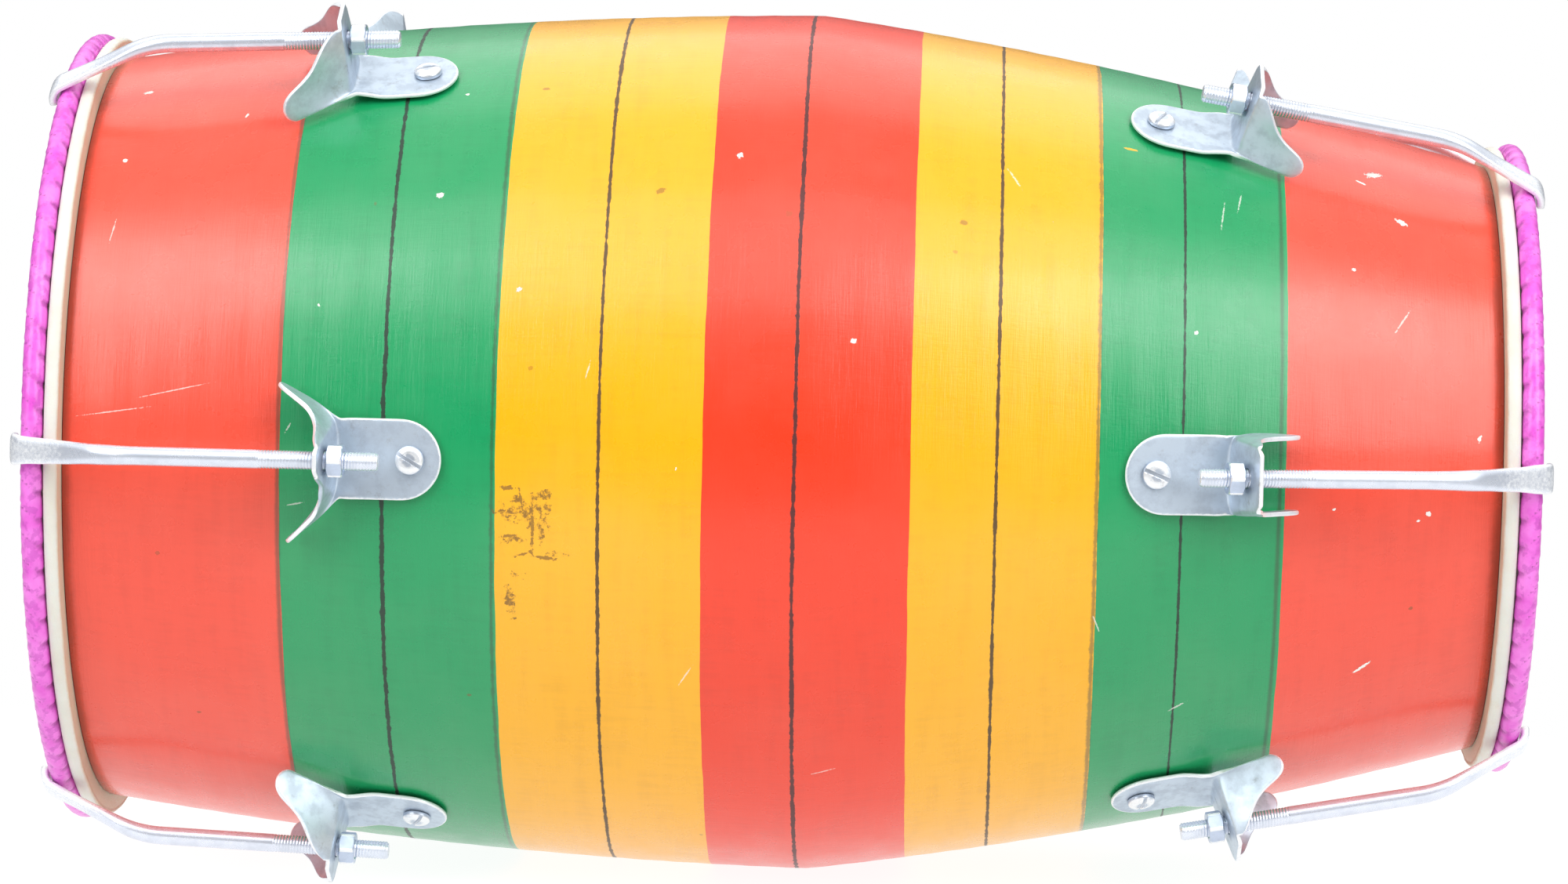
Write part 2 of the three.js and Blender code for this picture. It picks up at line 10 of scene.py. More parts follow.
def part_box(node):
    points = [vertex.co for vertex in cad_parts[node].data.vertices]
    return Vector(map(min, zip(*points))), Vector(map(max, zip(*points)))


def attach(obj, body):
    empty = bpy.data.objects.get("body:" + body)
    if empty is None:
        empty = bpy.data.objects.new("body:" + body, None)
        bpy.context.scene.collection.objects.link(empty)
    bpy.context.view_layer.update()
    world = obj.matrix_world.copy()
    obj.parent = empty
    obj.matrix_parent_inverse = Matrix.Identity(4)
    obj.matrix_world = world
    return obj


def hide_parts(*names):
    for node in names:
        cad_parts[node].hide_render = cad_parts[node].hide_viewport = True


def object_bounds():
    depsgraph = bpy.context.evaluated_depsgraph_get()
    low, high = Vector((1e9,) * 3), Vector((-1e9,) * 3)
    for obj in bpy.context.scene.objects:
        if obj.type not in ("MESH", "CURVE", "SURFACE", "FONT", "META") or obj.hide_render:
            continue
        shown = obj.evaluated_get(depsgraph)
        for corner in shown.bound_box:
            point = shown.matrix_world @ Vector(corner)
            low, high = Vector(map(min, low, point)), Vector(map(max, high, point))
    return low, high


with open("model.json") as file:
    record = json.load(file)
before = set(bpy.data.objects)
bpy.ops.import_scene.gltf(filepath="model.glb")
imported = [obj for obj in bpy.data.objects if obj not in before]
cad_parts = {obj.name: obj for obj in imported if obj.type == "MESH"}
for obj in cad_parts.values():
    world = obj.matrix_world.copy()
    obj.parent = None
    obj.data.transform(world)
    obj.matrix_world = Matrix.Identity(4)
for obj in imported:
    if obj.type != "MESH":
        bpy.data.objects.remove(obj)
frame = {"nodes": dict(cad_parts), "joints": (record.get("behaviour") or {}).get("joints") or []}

frame_low, frame_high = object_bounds()

# Units and directions. +X runs along the drum to the treble head, -Y faces the camera, +Z is up.
mm = 0.001
quarter_turn = math.pi / 2
point_weld = 1e-7
ends = ("bass", "treble")
stations = range(1, 7)

# Shell
belly_offset = 7 * mm
rim_radius = {"bass": 125.75 * mm, "treble": 98.4 * mm}
shoulder_step = 0.8 * mm
shoulder_gap = 0.3 * mm
crown = {"bass": 4.1 * mm, "treble": 4.3 * mm}
rim_wall = 10 * mm
belly_wall = 14 * mm
shell_around = 288
shell_along = 70
turning_marks = 0.12 * mm
paint_edge = 1 * mm

# Skins
skin_thickness = {"bass": 1 * mm, "treble": 0.8 * mm}
lap_roll = 1.5 * mm
lap_waviness = 0.3 * mm
face_roll = 0.9 * mm
face_edge = 0.25 * mm
face_bevel = 0.3 * mm
skin_around = 360

# Taped hoops
tape_pitch = 8.7 * mm
tape_step = 0.34 * mm
tape_pinch = 0.55 * mm
tape_slant = 0.55
bar_around = 28
samples_to_a_turn = 9

# Brackets
bracket_station = 144.2 * mm
cad_sheet = 2 * mm
sheet = 1.5 * mm
plate_length = 35.5 * mm
plate_half = 13 * mm
flange_height = 27 * mm
flange_corner = 2.5 * mm
fold_inner = 1.2 * mm
rod_hole_radius = 3.4 * mm
wing_reach = 21.5 * mm
wing_rise = 0.9 * mm
wing_bow = 0.4 * mm
wing_twist = 0.97
corner_lift = 2 * mm
lift_from = 13 * mm
lift_run = 10 * mm
crease_reach = 7 * mm
sheet_weld = 0.02 * mm
drill_reach = 6 * mm
columns = 13
fold_opening = {"bass": math.radians(2.5), "treble": math.radians(7.5)}

# Station by station: the flange's width at its top, the shift along the drum, and the wings' reach
top_shares = {"bass": (0.66, 0.5, 0.66, 0.66, 0.42, 0.66), "treble": (0.8, 0.84, 0.8, 0.8, 0.82, 0.8)}
shift_shares = {"bass": (0, 0, 0, 0.06, -0.03, 0.07), "treble": (0.01, -0.02, -0.02, 0, 0, 0)}
reach_shares = {"bass": (1.05, 1, 1.05, 1.08, 0.98, 1.1), "treble": (1.05, 1, 1.04, 1, 1, 1)}

# For each wing: how far it is bent out and leans off its flange, in degrees,
# and how much of its upper part is cut away
usual_wings = {"bass": ((30, 0, 0), (30, 0, 0)), "treble": ((12, 0, 0), (12, 0, 0))}
own_wings = {
    "bass_2": ((38, 0, 0), (38, 0, 0)), "bass_5": ((31, 5, 0.65), (42, 12, 0.95)),
    "treble_2": ((-1, 0, 0.4), (2, 0, 0.6)), "treble_5": ((8, 0, 0), (8, 0, 0)),
}
wing_edge_shares = (
    (0.84, -0.01), (0.94, 0.03), (1.0, 0.12), (1.02, 0.22), (0.96, 0.33), (0.82, 0.41),
    (0.65, 0.49), (0.52, 0.59), (0.42, 0.72), (0.32, 0.85), (0.2, 0.95), (0.06, 1.0),
)
wing_step_shares = (0, 0.05, 0.13, 0.24, 0.38, 0.53, 0.68, 0.83, 0.94, 1)

# Hooks
rod_radius = 3 * mm
thread_pitch = 1 * mm
thread_depth = 0.26 * mm
thread_past_flange = 20 * mm
thread_past_nut = 3 * mm
thread_runout = 2 * mm
rod_chamfer = 0.6 * mm
rod_chamfer_run = 0.8 * mm
tip_run = 1.2 * mm
strap_widths = ((0, 5.1), (6, 4.9), (14, 4.2), (30, 3.5), (50, 3.0))  # from the lip, half the width, in mm
strap_half_thickness = 1.45 * mm
strap_from = 16 * mm
strap_blend = 34 * mm
strap_bend_radius = 35 * mm
strap_slope = {"bass": math.radians(27), "treble": math.radians(32)}
lip_reach = 2 * mm
lip_rounding = 1.2 * mm
hammer_depth = 0.09 * mm
hammer_pitches = (2.1 * mm, 3.7 * mm)
rod_tail = {"bass": 11 * mm, "treble": 9 * mm}
hoop_clearance = 0.3 * mm

# Nuts and screws
nut_height = 5 * mm
nut_flat = 5 * mm
nut_chamfer = 0.5 * mm
nut_bore = 3.06 * mm
screw_inset = 10 * mm
screw_radius = 4.6 * mm
screw_height = 2.4 * mm
screw_side = 0.75 * mm
screw_foot = 0.15 * mm
slot_bevel = 0.12 * mm
slot_width = 1.3 * mm
slot_depth = 1.1 * mm
slot_degrees = (20, 118, 35, 64, 150, 12)

# Painted bands, from the bass head to the treble head, and where each one starts
band_colours = ("chalky red", "green", "yellow", "red", "yellow", "green", "chalky red")
band_starts = (-161.2 * mm, -92.0 * mm, -26.2 * mm, 39.1 * mm, 99.8 * mm, 158.8 * mm)
band_waver = 1.5 * mm
ring_wander = 0.9 * mm

# Rings round the shell: station and width in mm, how broken, and how soft in mm
drawn_lines = (
    (-127, 0.88, 0.75, 0.14), (-58, 0.75, 0.75, 0.14), (4, 0.85, 0.75, 0.14),
    (67.9, 0.7, 0.75, 0.14), (127.1, 0.55, 0.75, 0.14),
)
overlap_rings = (
    (-160.9, 1.3, 0.2, 0.5), (158.6, 1.1, 0.2, 0.5), (-92, 0.7, 0.8, 0.4), (99.9, 0.8, 0.8, 0.4),
)
# Painted shadow: a darker band on the shell beside each lap, where the lap stands proud of it
lap_shadow_rings = ((-232, 5.6, 0.1, 2.0), (231.8, 5.6, 0.1, 2.0))

# Camera, floor and lights
camera_place = Vector((57.4, -1796.6, 109.9)) * mm
camera_degrees = {"X": -3.507, "Z": 1.963, "Y": -1.315}
lens_length = 120.55
film_width = 36
floor_radius = 60.0
floor_sides = 96
softboxes = (
    ("key", (0.05, -1.1, 1.5), 2.6, 1.1, 11.5),
    ("overhead", (0, 1.1, 1.8), 3.2, 1.6, 13),
    ("left side", (-1.36, -1.34, 1.1), 1.25, 1.8, 23),
    ("right side", (1.36, -1.34, 1.0), 1.25, 1.8, 25),
)


def seen(red, green, blue):
    """A colour given as it looks on a screen, 0 to 255, in linear light."""
    parts = [v / 255 for v in (red, green, blue)]
    return tuple(v / 12.92 if v <= 0.04045 else ((v + 0.055) / 1.055) ** 2.4 for v in parts) + (1.0,)


paints = {
    "red": seen(236, 59, 24), "chalky red": seen(240, 79, 56),
    "green": seen(14, 152, 90), "yellow": seen(247, 177, 3),
}

# Zinc finishes: colour, dull and bright roughness, dirt, clouds, shine and the relief's height
zinc_finishes = {
    "zinc sheet": (seen(204, 217, 230), 0.42, 0.36, 0.3, 0.5, 0.74, 0.02 * mm),
    "zinc rod": (seen(228, 234, 246), 0.27, 0.24, 0.1, 0.2, 0.62, 0.002 * mm),
    "zinc nut": (seen(200, 212, 232), 0.32, 0.26, 0.15, 0.4, 0.82, 0.01 * mm),
    "zinc screw": (seen(208, 216, 228), 0.34, 0.24, 0.5, 0.4, 0.82, 0.012 * mm),
}


# Steps that several makers share

def put_in_scene(name, data):
    piece = bpy.data.objects.new(name, data)
    bpy.context.scene.collection.objects.link(piece)
    return piece


def steps_round(count):
    """Angles at even steps round a circle."""
    return 2 * math.pi * np.arange(count) / count


# The camera and its lights

def make_camera():
    """The photograph's own view: a long lens in front of the drum, a little above its axis."""
    camera = put_in_scene("camera", bpy.data.cameras.new("camera"))
    camera.data.sensor_width = film_width
    camera.data.lens = lens_length
    camera.data.clip_start = 0.05
    camera.data.clip_end = 200
    tip, yaw, roll = (Matrix.Rotation(math.radians(d), 3, way) for way, d in camera_degrees.items())
    right, forward, up = (tip @ yaw @ roll).col
    pose = Matrix((right, up, -forward)).transposed().to_4x4()
    pose.translation = camera_place
    camera.matrix_world = pose
    bpy.context.scene.camera = camera


def make_softbox(name, place, width, height, watts):
    """A soft light that faces the middle of the drum."""
    light = bpy.data.lights.new(name, "AREA")
    light.shape = "RECTANGLE"
    light.size, light.size_y = width, height
    light.energy = watts
    box = put_in_scene(name, light)
    box.location = place
    box.rotation_euler = (Vector() - Vector(place)).to_track_quat("-Z", "Y").to_euler()


# Node trees

class Sketch:
    """A node tree, with one short call for each kind of node that the finishes use."""

    def __init__(self, tree):
        self.tree = tree

    def feed(self, socket, value):
        if isinstance(value, bpy.types.NodeSocket):
            self.tree.links.new(value, socket)
        else:
            socket.default_value = value

    def add(self, kind, feeds=None, **settings):
        node = self.tree.nodes.new(kind)
        for key, value in settings.items():
            setattr(node, key, value)
        for key, value in (feeds or {}).items():
            self.feed(node.inputs[key], value)
        return node

    def maths(self, operation, *values):
        return self.add("ShaderNodeMath", dict(enumerate(values)), operation=operation).outputs[0]

    def scaled(self, vector, factors):
        node = self.add("ShaderNodeVectorMath", {0: vector, 1: factors}, operation="MULTIPLY")
        return node.outputs[0]

    def length(self, vector):
        return self.add("ShaderNodeVectorMath", {0: vector}, operation="LENGTH").outputs["Value"]

    def part(self, vector, index):
        return self.add("ShaderNodeSeparateXYZ", {0: vector}).outputs[index]

    def joined(self, masks):
        """One mask that holds them all."""
        total = masks[0]
        for mask in masks[1:]:
            total = self.maths("MAXIMUM", total, mask)
        return total

    def remap(self, value, low, high, to_low=0.0, to_high=1.0):
        feeds = {"Value": value, "From Min": low, "From Max": high, "To Min": to_low, "To Max": to_high}
        return self.add("ShaderNodeMapRange", feeds, interpolation_type="SMOOTHSTEP").outputs[0]

    def noise(self, vector, scale, detail=3.0, roughness=0.55):
        feeds = {"Vector": vector, "Scale": scale, "Detail": detail, "Roughness": roughness}
        return self.add("ShaderNodeTexNoise", feeds).outputs["Fac"]

    def mix(self, factor, first, second, blend_type="MIX"):
        node = self.add("ShaderNodeMix", data_type="RGBA", blend_type=blend_type)
        for index, value in ((0, factor), (6, first), (7, second)):
            self.feed(node.inputs[index], value)
        return node.outputs[2]

    def bump(self, height, distance, strength=1.0, normal=None):
        feeds = {"Height": height, "Distance": distance, "Strength": strength}
        if normal is not None:
            feeds["Normal"] = normal
        return self.add("ShaderNodeBump", feeds).outputs[0]

    def mark(self, name):
        return self.add("ShaderNodeAttribute", attribute_name=name).outputs["Fac"]

    def place(self):
        return self.add("ShaderNodeTexCoord").outputs["Object"]

    def use(self, effect, feeds):
        node = self.add("ShaderNodeGroup", node_tree=effect)
        for key, value in feeds.items():
            self.feed(node.inputs[key], value)
        return node


socket_kinds = {float: "NodeSocketFloat", tuple: "NodeSocketColor", str: "NodeSocketVector"}


def make_effect(name, inputs, outputs):
    """An empty node group with named sockets. A text default stands for a vector."""
    tree = bpy.data.node_groups.new(name, "ShaderNodeTree")
    for key, value in inputs.items():
        socket = tree.interface.new_socket(name=key, in_out="INPUT", socket_type=socket_kinds[type(value)])
        if not isinstance(value, str):
            socket.default_value = value
    for key, value in outputs.items():
        tree.interface.new_socket(name=key, in_out="OUTPUT", socket_type=socket_kinds[type(value)])
    sketch = Sketch(tree)
    taken = sketch.add("NodeGroupInput").outputs
    given = sketch.add("NodeGroupOutput").inputs
    return sketch, taken, given


def make_speckle_effect():
    """Small ragged flecks, a few to each cell of a grid, as where paint has chipped off."""
    inputs = {"Place": "", "Cells": 100.0, "Share": 0.1, "Size": 0.2}
    sketch, taken, given = make_effect("chipped flecks", inputs, {"Mask": 0.0})
    drift = sketch.add("ShaderNodeTexNoise", {"Vector": taken["Place"], "Scale": 900.0, "Detail": 2.0})
    ragged = sketch.scaled(drift.outputs["Color"], (0.0011,) * 3)
    moved = sketch.add("ShaderNodeVectorMath", {0: taken["Place"], 1: ragged}, operation="ADD")
    cells = sketch.add("ShaderNodeTexVoronoi", {"Vector": moved.outputs[0], "Scale": taken["Cells"]})
    draw = sketch.add("ShaderNodeSeparateColor", {"Color": cells.outputs["Color"]})
    chosen = sketch.maths("LESS_THAN", draw.outputs[0], taken["Share"])
    size = sketch.maths("MULTIPLY", taken["Size"], draw.outputs[1])
    near = sketch.maths("LESS_THAN", cells.outputs["Distance"], size)
    sketch.feed(given["Mask"], sketch.maths("MULTIPLY", chosen, near))
    return sketch.tree


def make_spot_effect():
    """One mark with a ragged outline: solid inside a length of one, broken up by the grain."""
    inputs = {"Offset": "", "Place": "", "Grain": 600.0, "Break": 0.5, "Strength": 1.0}
    sketch, taken, given = make_effect("ragged mark", inputs, {"Mask": 0.0})
    grain = sketch.maths("SUBTRACT", sketch.noise(taken["Place"], taken["Grain"], 4.0, 0.7), 0.5)
    breaking = sketch.maths("MULTIPLY", taken["Break"], 4.0)
    edge = sketch.maths("MULTIPLY_ADD", grain, breaking, sketch.length(taken["Offset"]))
    mask = sketch.remap(edge, 1.0, 0.75)
    sketch.feed(given["Mask"], sketch.maths("MULTIPLY", mask, taken["Strength"]))
    return sketch.tree


def make_line_effect():
    """A hand-drawn ring round the drum: it wanders a little, and the paint runs thin in places."""
    inputs = {"Place": "", "Station": 0.0, "Width": 0.001, "Break": 0.5, "Softness": 0.0002}
    sketch, taken, given = make_effect("drawn ring", inputs, {"Mask": 0.0})
    wander = sketch.maths("SUBTRACT", sketch.noise(taken["Place"], 14.0, 2.0), 0.5)
    centre = sketch.maths("MULTIPLY_ADD", wander, ring_wander, taken["Station"])
    off = sketch.maths("ABSOLUTE", sketch.maths("SUBTRACT", sketch.part(taken["Place"], 0), centre))
    thin = sketch.noise(taken["Place"], 260.0, 5.0, 0.75)
    breaking = sketch.maths("MULTIPLY", sketch.maths("SUBTRACT", thin, 0.62), taken["Break"])
    swelling = sketch.maths("MULTIPLY", sketch.noise(taken["Place"], 30.0), 0.7)
    grow = sketch.maths("ADD", sketch.maths("MULTIPLY_ADD", breaking, -3.0, 0.1), swelling)
    half = sketch.maths("MULTIPLY", taken["Width"], grow)
    inside = sketch.maths("SUBTRACT", half, off)
    outside = sketch.maths("MULTIPLY", taken["Softness"], -1.0)
    sketch.feed(given["Mask"], sketch.remap(inside, outside, taken["Softness"]))
    return sketch.tree


def make_grain_effect():
    """Fine ridges along the drum from the wood, and brush lines round it, for colour and for relief."""
    inputs = {"Place": "", "Wood": 1.0, "Brush": 1.0}
    sketch, taken, given = make_effect("grain under paint", inputs, {"Height": 0.0, "Streak": 0.0})
    wood = sketch.noise(sketch.scaled(taken["Place"], (0.05, 1.0, 1.0)), 1300.0, 4.0, 0.6)
    pores = sketch.noise(sketch.scaled(taken["Place"], (0.12, 1.0, 1.0)), 420.0, 3.0, 0.7)
    brush = sketch.noise(sketch.scaled(taken["Place"], (1.0, 0.06, 0.06)), 1500.0, 3.0, 0.6)
    broad = sketch.noise(sketch.scaled(taken["Place"], (1.0, 0.12, 0.12)), 240.0, 2.0, 0.5)
    ridges = sketch.maths("ADD", wood, sketch.maths("MULTIPLY", pores, 0.8))
    ridges = sketch.maths("MULTIPLY", ridges, taken["Wood"])
    drawn = sketch.maths("ADD", brush, sketch.maths("MULTIPLY", broad, 1.4))
    drawn = sketch.maths("MULTIPLY", drawn, taken["Brush"])
    sketch.feed(given["Height"], sketch.maths("ADD", ridges, drawn))
    streak = sketch.maths("MULTIPLY_ADD", broad, 0.5, sketch.maths("MULTIPLY", pores, 0.5))
    sketch.feed(given["Streak"], streak)
    return sketch.tree


def make_zinc_effect():
    """Plated steel: cloudy plating, fine scratches, and whiter, less metallic plating along the marked
    edges: partly wear, partly a painted highlight.
    """
    inputs = {
        "Place": "", "Edge": 0.0, "Plating": (0.7, 0.74, 0.78, 1.0), "Wear and highlight": (0.92, 0.94, 0.96, 1.0),
        "Dull": 0.5, "Bright": 0.2, "Dirt": 0.3, "Clouds": 0.5, "Shine": 0.8,
    }
    outputs = {"Color": (0.0,) * 4, "Roughness": 0.0, "Metal": 0.0, "Height": 0.0}
    sketch, taken, given = make_effect("plating with wear and highlight", inputs, outputs)
    cloud = sketch.noise(taken["Place"], 190.0, 4.0, 0.62)
    fine = sketch.noise(taken["Place"], 900.0, 4.0, 0.65)
    scratch = sketch.noise(sketch.scaled(taken["Place"], (0.2, 1.0, 0.6)), 2600.0, 3.0, 0.6)
    uneven = sketch.maths("MULTIPLY", sketch.maths("SUBTRACT", fine, 0.5), 0.7)
    # Where the edge marks are high the colour goes white and less metallic: partly wear, partly a painted
    # highlight
    rubbed_and_highlit = sketch.maths("ADD", taken["Edge"], uneven)
    worn = sketch.remap(rubbed_and_highlit, 0.62, 1.0)
    clouded = sketch.maths("MULTIPLY", sketch.remap(cloud, 0.4, 0.66), taken["Clouds"])
    cloudy = sketch.mix(clouded, taken["Plating"], (0.4, 0.46, 0.54, 1.0))
    plated = sketch.mix(worn, cloudy, taken["Wear and highlight"])
    grubby = sketch.remap(sketch.noise(taken["Place"], 210.0, 5.0, 0.7), 0.56, 0.74)
    dirty = sketch.maths("MULTIPLY", grubby, taken["Dirt"])
    sketch.feed(given["Color"], sketch.mix(dirty, plated, (0.16, 0.14, 0.12, 1.0)))
    dull = sketch.maths("ADD", taken["Dull"], sketch.maths("MULTIPLY", clouded, 0.15))
    rough = sketch.maths("ADD", dull, sketch.maths("MULTIPLY", dirty, 0.3))
    span = sketch.maths("SUBTRACT", taken["Bright"], rough)
    sketch.feed(given["Roughness"], sketch.maths("MULTIPLY_ADD", worn, span, rough))
    sketch.feed(given["Metal"], sketch.maths("MULTIPLY_ADD", worn, -0.35, taken["Shine"]))
    sketch.feed(given["Height"], sketch.maths("ADD", scratch, sketch.maths("MULTIPLY", fine, 1.2)))
    return sketch.tree


def make_hide_effect():
    """Dried hide: cloudy cream, darker veins, and follicles in the grain."""
    inputs = {"Place": "", "Pale": (0.8, 0.74, 0.6, 1.0), "Tan": (0.6, 0.42, 0.24, 1.0), "Age": 0.3}
    sketch, taken, given = make_effect("dried hide", inputs, {"Color": (0.0,) * 4, "Height": 0.0})
    cloud = sketch.noise(taken["Place"], 38.0, 5.0, 0.62)
    veins = sketch.noise(sketch.scaled(taken["Place"], (1.0, 0.5, 1.0)), 75.0, 5.0, 0.75)
    pits = sketch.add("ShaderNodeTexVoronoi", {"Vector": taken["Place"], "Scale": 1500.0})
    shade = sketch.maths("MULTIPLY", sketch.remap(cloud, 0.35, 0.7), taken["Age"])
    stain = sketch.maths("MULTIPLY", sketch.remap(veins, 0.55, 0.72), taken["Age"])
    colour = sketch.mix(sketch.maths("MAXIMUM", shade, stain), taken["Pale"], taken["Tan"])
    sketch.feed(given["Color"], colour)
    sketch.feed(given["Height"], sketch.maths("MULTIPLY_ADD", pits.outputs["Distance"], 0.5, veins))
    return sketch.tree


def make_material(name):
    """A material with its shader, its tree to draw in, and the shader's sockets."""
    material = bpy.data.materials.new(name)
    material.use_nodes = True
    sketch = Sketch(material.node_tree)
    shader = material.node_tree.nodes["Principled BSDF"]
    return material, sketch, shader.inputs


# Marks on the paint: station in mm, degrees above the line that faces the camera,
# length and width in mm, and tilt in degrees
white_chips = (
    (-215.6, 63, 3.4, 2.2, 20), (-218.3, 46, 2.0, 1.6, 0), (-179.9, 54, 2.6, 1.0, 70),
    (-112.6, 36.6, 2.6, 2.4, 0), (-107.5, 55.8, 1.4, 1.2, 0), (-85.1, 22.5, 2.4, 1.6, 30),
    (-16.8, 42.6, 2.4, 2.6, 0), (21.8, 16.5, 1.9, 1.9, 0), (130.8, 21.2, 1.8, 1.2, 40),
    (190.5, 60.5, 6.5, 3.4, 25), (186, 57, 4.0, 1.0, -20), (198.6, 48.4, 4.4, 2.2, -30),
    (182.2, 35.7, 1.6, 1.4, 0), (223.5, 6.9, 2.6, 1.2, 70), (207.3, -6.6, 2.2, 1.8, 20),
    (204.0, -7.8, 1.2, 1.2, 0), (188.4, -35.1, 7.0, 1.2, 35), (176.4, -5.5, 1.2, 1.0, 0),
)
scratches = (
    (72, 42.9, 8.5, 0.8, -60), (-214.7, 5.6, 22, 0.4, 8), (-196, 8.6, 26, 0.4, 12),
    (128.3, -38.2, 6, 0.8, 30), (145.1, 45.4, 9, 0.6, 80), (139.5, 42, 12, 0.6, 84),
    (-30, -28, 9, 0.5, 60), (101, -22, 7, 0.5, -70), (-219, 33, 9, 0.5, 80), (-62, 12, 6, 0.5, 75),
    (14, -44, 8, 0.5, 15), (198, 27, 10, 0.6, 60), (-157.5, 3.9, 4.0, 0.6, 60),
    (-155, -6.4, 6.0, 0.6, 12),
)
brown_spots = (
    (-41.5, 36.8, 3.6, 2.0, 30), (55.8, 34.5, 2.6, 2.0, 0), (-81.7, 56.4, 3.0, 1.6, 0),
    (-100, -33, 1.6, 1.2, 0), (203, -24, 1.5, 1.2, 0), (-190, -41, 1.8, 1.2, 0),
)
grime = (
    (-80.5, -6.6, 15, 11, 0), (-75.2, -4.0, 5.5, 3.2, 30), (-76.0, -9.0, 2.2, 8, 0),
    (-71.5, -11.6, 8, 2.0, -6), (-86.0, -18.0, 3.0, 13, 5), (-83.5, -14.6, 5, 3, 0),
    (-84.0, -10.0, 8, 3.5, 0),
)
grime_strokes = (
    (-78.7, -8.4, 1.1, 17, 0), (-75.0, -12.2, 8.5, 1.3, -6), (-82.5, -4.6, 1.0, 7, 10),
    (-86.5, -9.5, 5, 1.2, 4), (-81.5, -11.8, 6, 1.0, 20), (-87.0, -3.2, 3.5, 1.4, 0),
)
green_streak = ((109.6, 53.0, 5.2, 1.3, -3),)


def shell_arc(end):
    """The arc from belly to shoulder: its centre, its radius, and those two points."""
    low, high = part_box(f"{end}_skin")
    shoulder_station = min(abs(low.x), abs(high.x)) - shoulder_gap
    sign = -1 if end == "bass" else 1
    belly = Vector((sign * belly_offset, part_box("shell")[1].z))
    shoulder = Vector((shoulder_station, rim_radius[end] + shoulder_step))
    chord = shoulder - belly
    radius = (chord.length_squared / 4 + crown[end] ** 2) / (2 * crown[end])
    inward = Vector((chord.y, -chord.x)).normalized()
    return (belly + shoulder) / 2 + inward * (radius - crown[end]), radius, belly, shoulder


def shell_surface(end, station):
    """The shell's radius there, and how steeply it falls towards the head, in radians."""
    centre, radius, _, _ = shell_arc(end)
    across = station - centre.x
    up = math.sqrt(radius ** 2 - across ** 2)
    return centre.y + up, math.atan(across / up)


def add_marks(sketch, place, spot, marks, grain, breaking, strength=1.0):
    """One mask that holds every mark of a list, each laid on the shell where it belongs."""
    masks = []
    for station, degrees, length, width, tilt in marks:
        x, rise = station * mm, math.radians(degrees)
        end = "treble" if x > belly_offset else "bass"
        radius, _ = shell_surface(end, abs(x) if end == "treble" or x < 0 else -x)
        centre = Vector((x, -radius * math.cos(rise), radius * math.sin(rise)))
        turn = Matrix.Rotation(quarter_turn - rise, 3, "X") @ Matrix.Rotation(math.radians(tilt), 3, "Z")
        local = sketch.add("ShaderNodeMapping", {
            "Vector": place, "Location": centre, "Rotation": turn.to_euler(),
            "Scale": (length * mm / 2, width * mm / 2, 5 * mm),
        }, vector_type="TEXTURE")
        masks.append(sketch.use(spot, {
            "Offset": local.outputs[0], "Place": place, "Grain": grain, "Break": breaking,
            "Strength": strength,
        }).outputs[0])
    return sketch.joined(masks)


def banded_colour(sketch, place):
    """The seven colours along the drum, between edges that waver a little."""
    waver = sketch.maths("SUBTRACT", sketch.noise(place, 22.0, 4.0, 0.6), 0.5)
    edge = sketch.maths("MULTIPLY_ADD", waver, band_waver, sketch.part(place, 0))
    span = {"Value": edge, "From Min": frame_low.x, "From Max": frame_high.x}
    share = sketch.add("ShaderNodeMapRange", span)
    ramp = sketch.add("ShaderNodeValToRGB", {"Fac": share.outputs[0]})
    ramp.color_ramp.interpolation = "CONSTANT"
    stops = ramp.color_ramp.elements
    stops[0].color = paints[band_colours[0]]
    stops.remove(stops[1])
    for start, colour in zip(band_starts, band_colours[1:]):
        stop = stops.new((start - frame_low.x) / (frame_high.x - frame_low.x))
        stop.color = paints[colour]
    return ramp.outputs[0]


def add_rings(sketch, effects, place, colour):
    """Dark overlaps between bands, painted shadow beside each lap, and the drawn lines, whose mask it
    returns too.
    """
    def masks(rings):
        return [sketch.use(effects["line"], {
            "Place": place, "Station": station * mm, "Width": width * mm, "Break": breaking,
            "Softness": softness * mm,
        }).outputs[0] for station, width, breaking, softness in rings]

    overlap = sketch.joined(masks(overlap_rings))
    colour = sketch.mix(sketch.maths("MULTIPLY", overlap, 0.6), colour, (0.035, 0.06, 0.03, 1))
    # Painted shadow: the shell darkened to a brown red beside each lap
    corner = sketch.joined(masks(lap_shadow_rings))
    colour = sketch.mix(sketch.maths("MULTIPLY", corner, 0.85), colour, seen(150, 50, 30))
    lines = sketch.joined(masks(drawn_lines))
    return sketch.mix(sketch.maths("MULTIPLY", lines, 0.9), colour, (0.012, 0.01, 0.012, 1)), lines


def add_wear(sketch, effects, place, colour):
    """Grime, brown spots, a stray streak, chips and scratches. Returns the masks of grime and chips too."""
    def marks(rows, grain, breaking, strength=1.0):
        return add_marks(sketch, place, effects["spot"], rows, grain, breaking, strength)

    def flecks(cells, share, size):
        feeds = {"Place": place, "Cells": cells, "Share": share, "Size": size}
        return sketch.use(effects["speckle"], feeds).outputs[0]

    speck = sketch.remap(sketch.noise(place, 520.0, 5.0, 0.75), 0.42, 0.58)
    dirt = sketch.maths("MULTIPLY", marks(grime, 330.0, 1.1, 0.85), speck)
    dirt = sketch.joined([dirt, marks(grime_strokes, 800.0, 0.95, 0.75)])
    dust = sketch.maths("MULTIPLY", flecks(75.0, 0.06, 0.1), 0.4)
    brown = sketch.joined([marks(brown_spots, 700.0, 0.45, 0.6), dust])
    colour = sketch.mix(sketch.joined([dirt, brown]), colour, (0.16, 0.075, 0.01, 1))
    colour = sketch.mix(marks(green_streak, 900.0, 0.3), colour, paints["yellow"])
    chips = sketch.joined([marks(white_chips, 900.0, 0.6), flecks(60.0, 0.12, 0.07)])
    chipped = sketch.joined([chips, marks(scratches, 1100.0, 0.7, 0.55)])
    return sketch.mix(chipped, colour, (0.9, 0.86, 0.8, 1)), dirt, chips


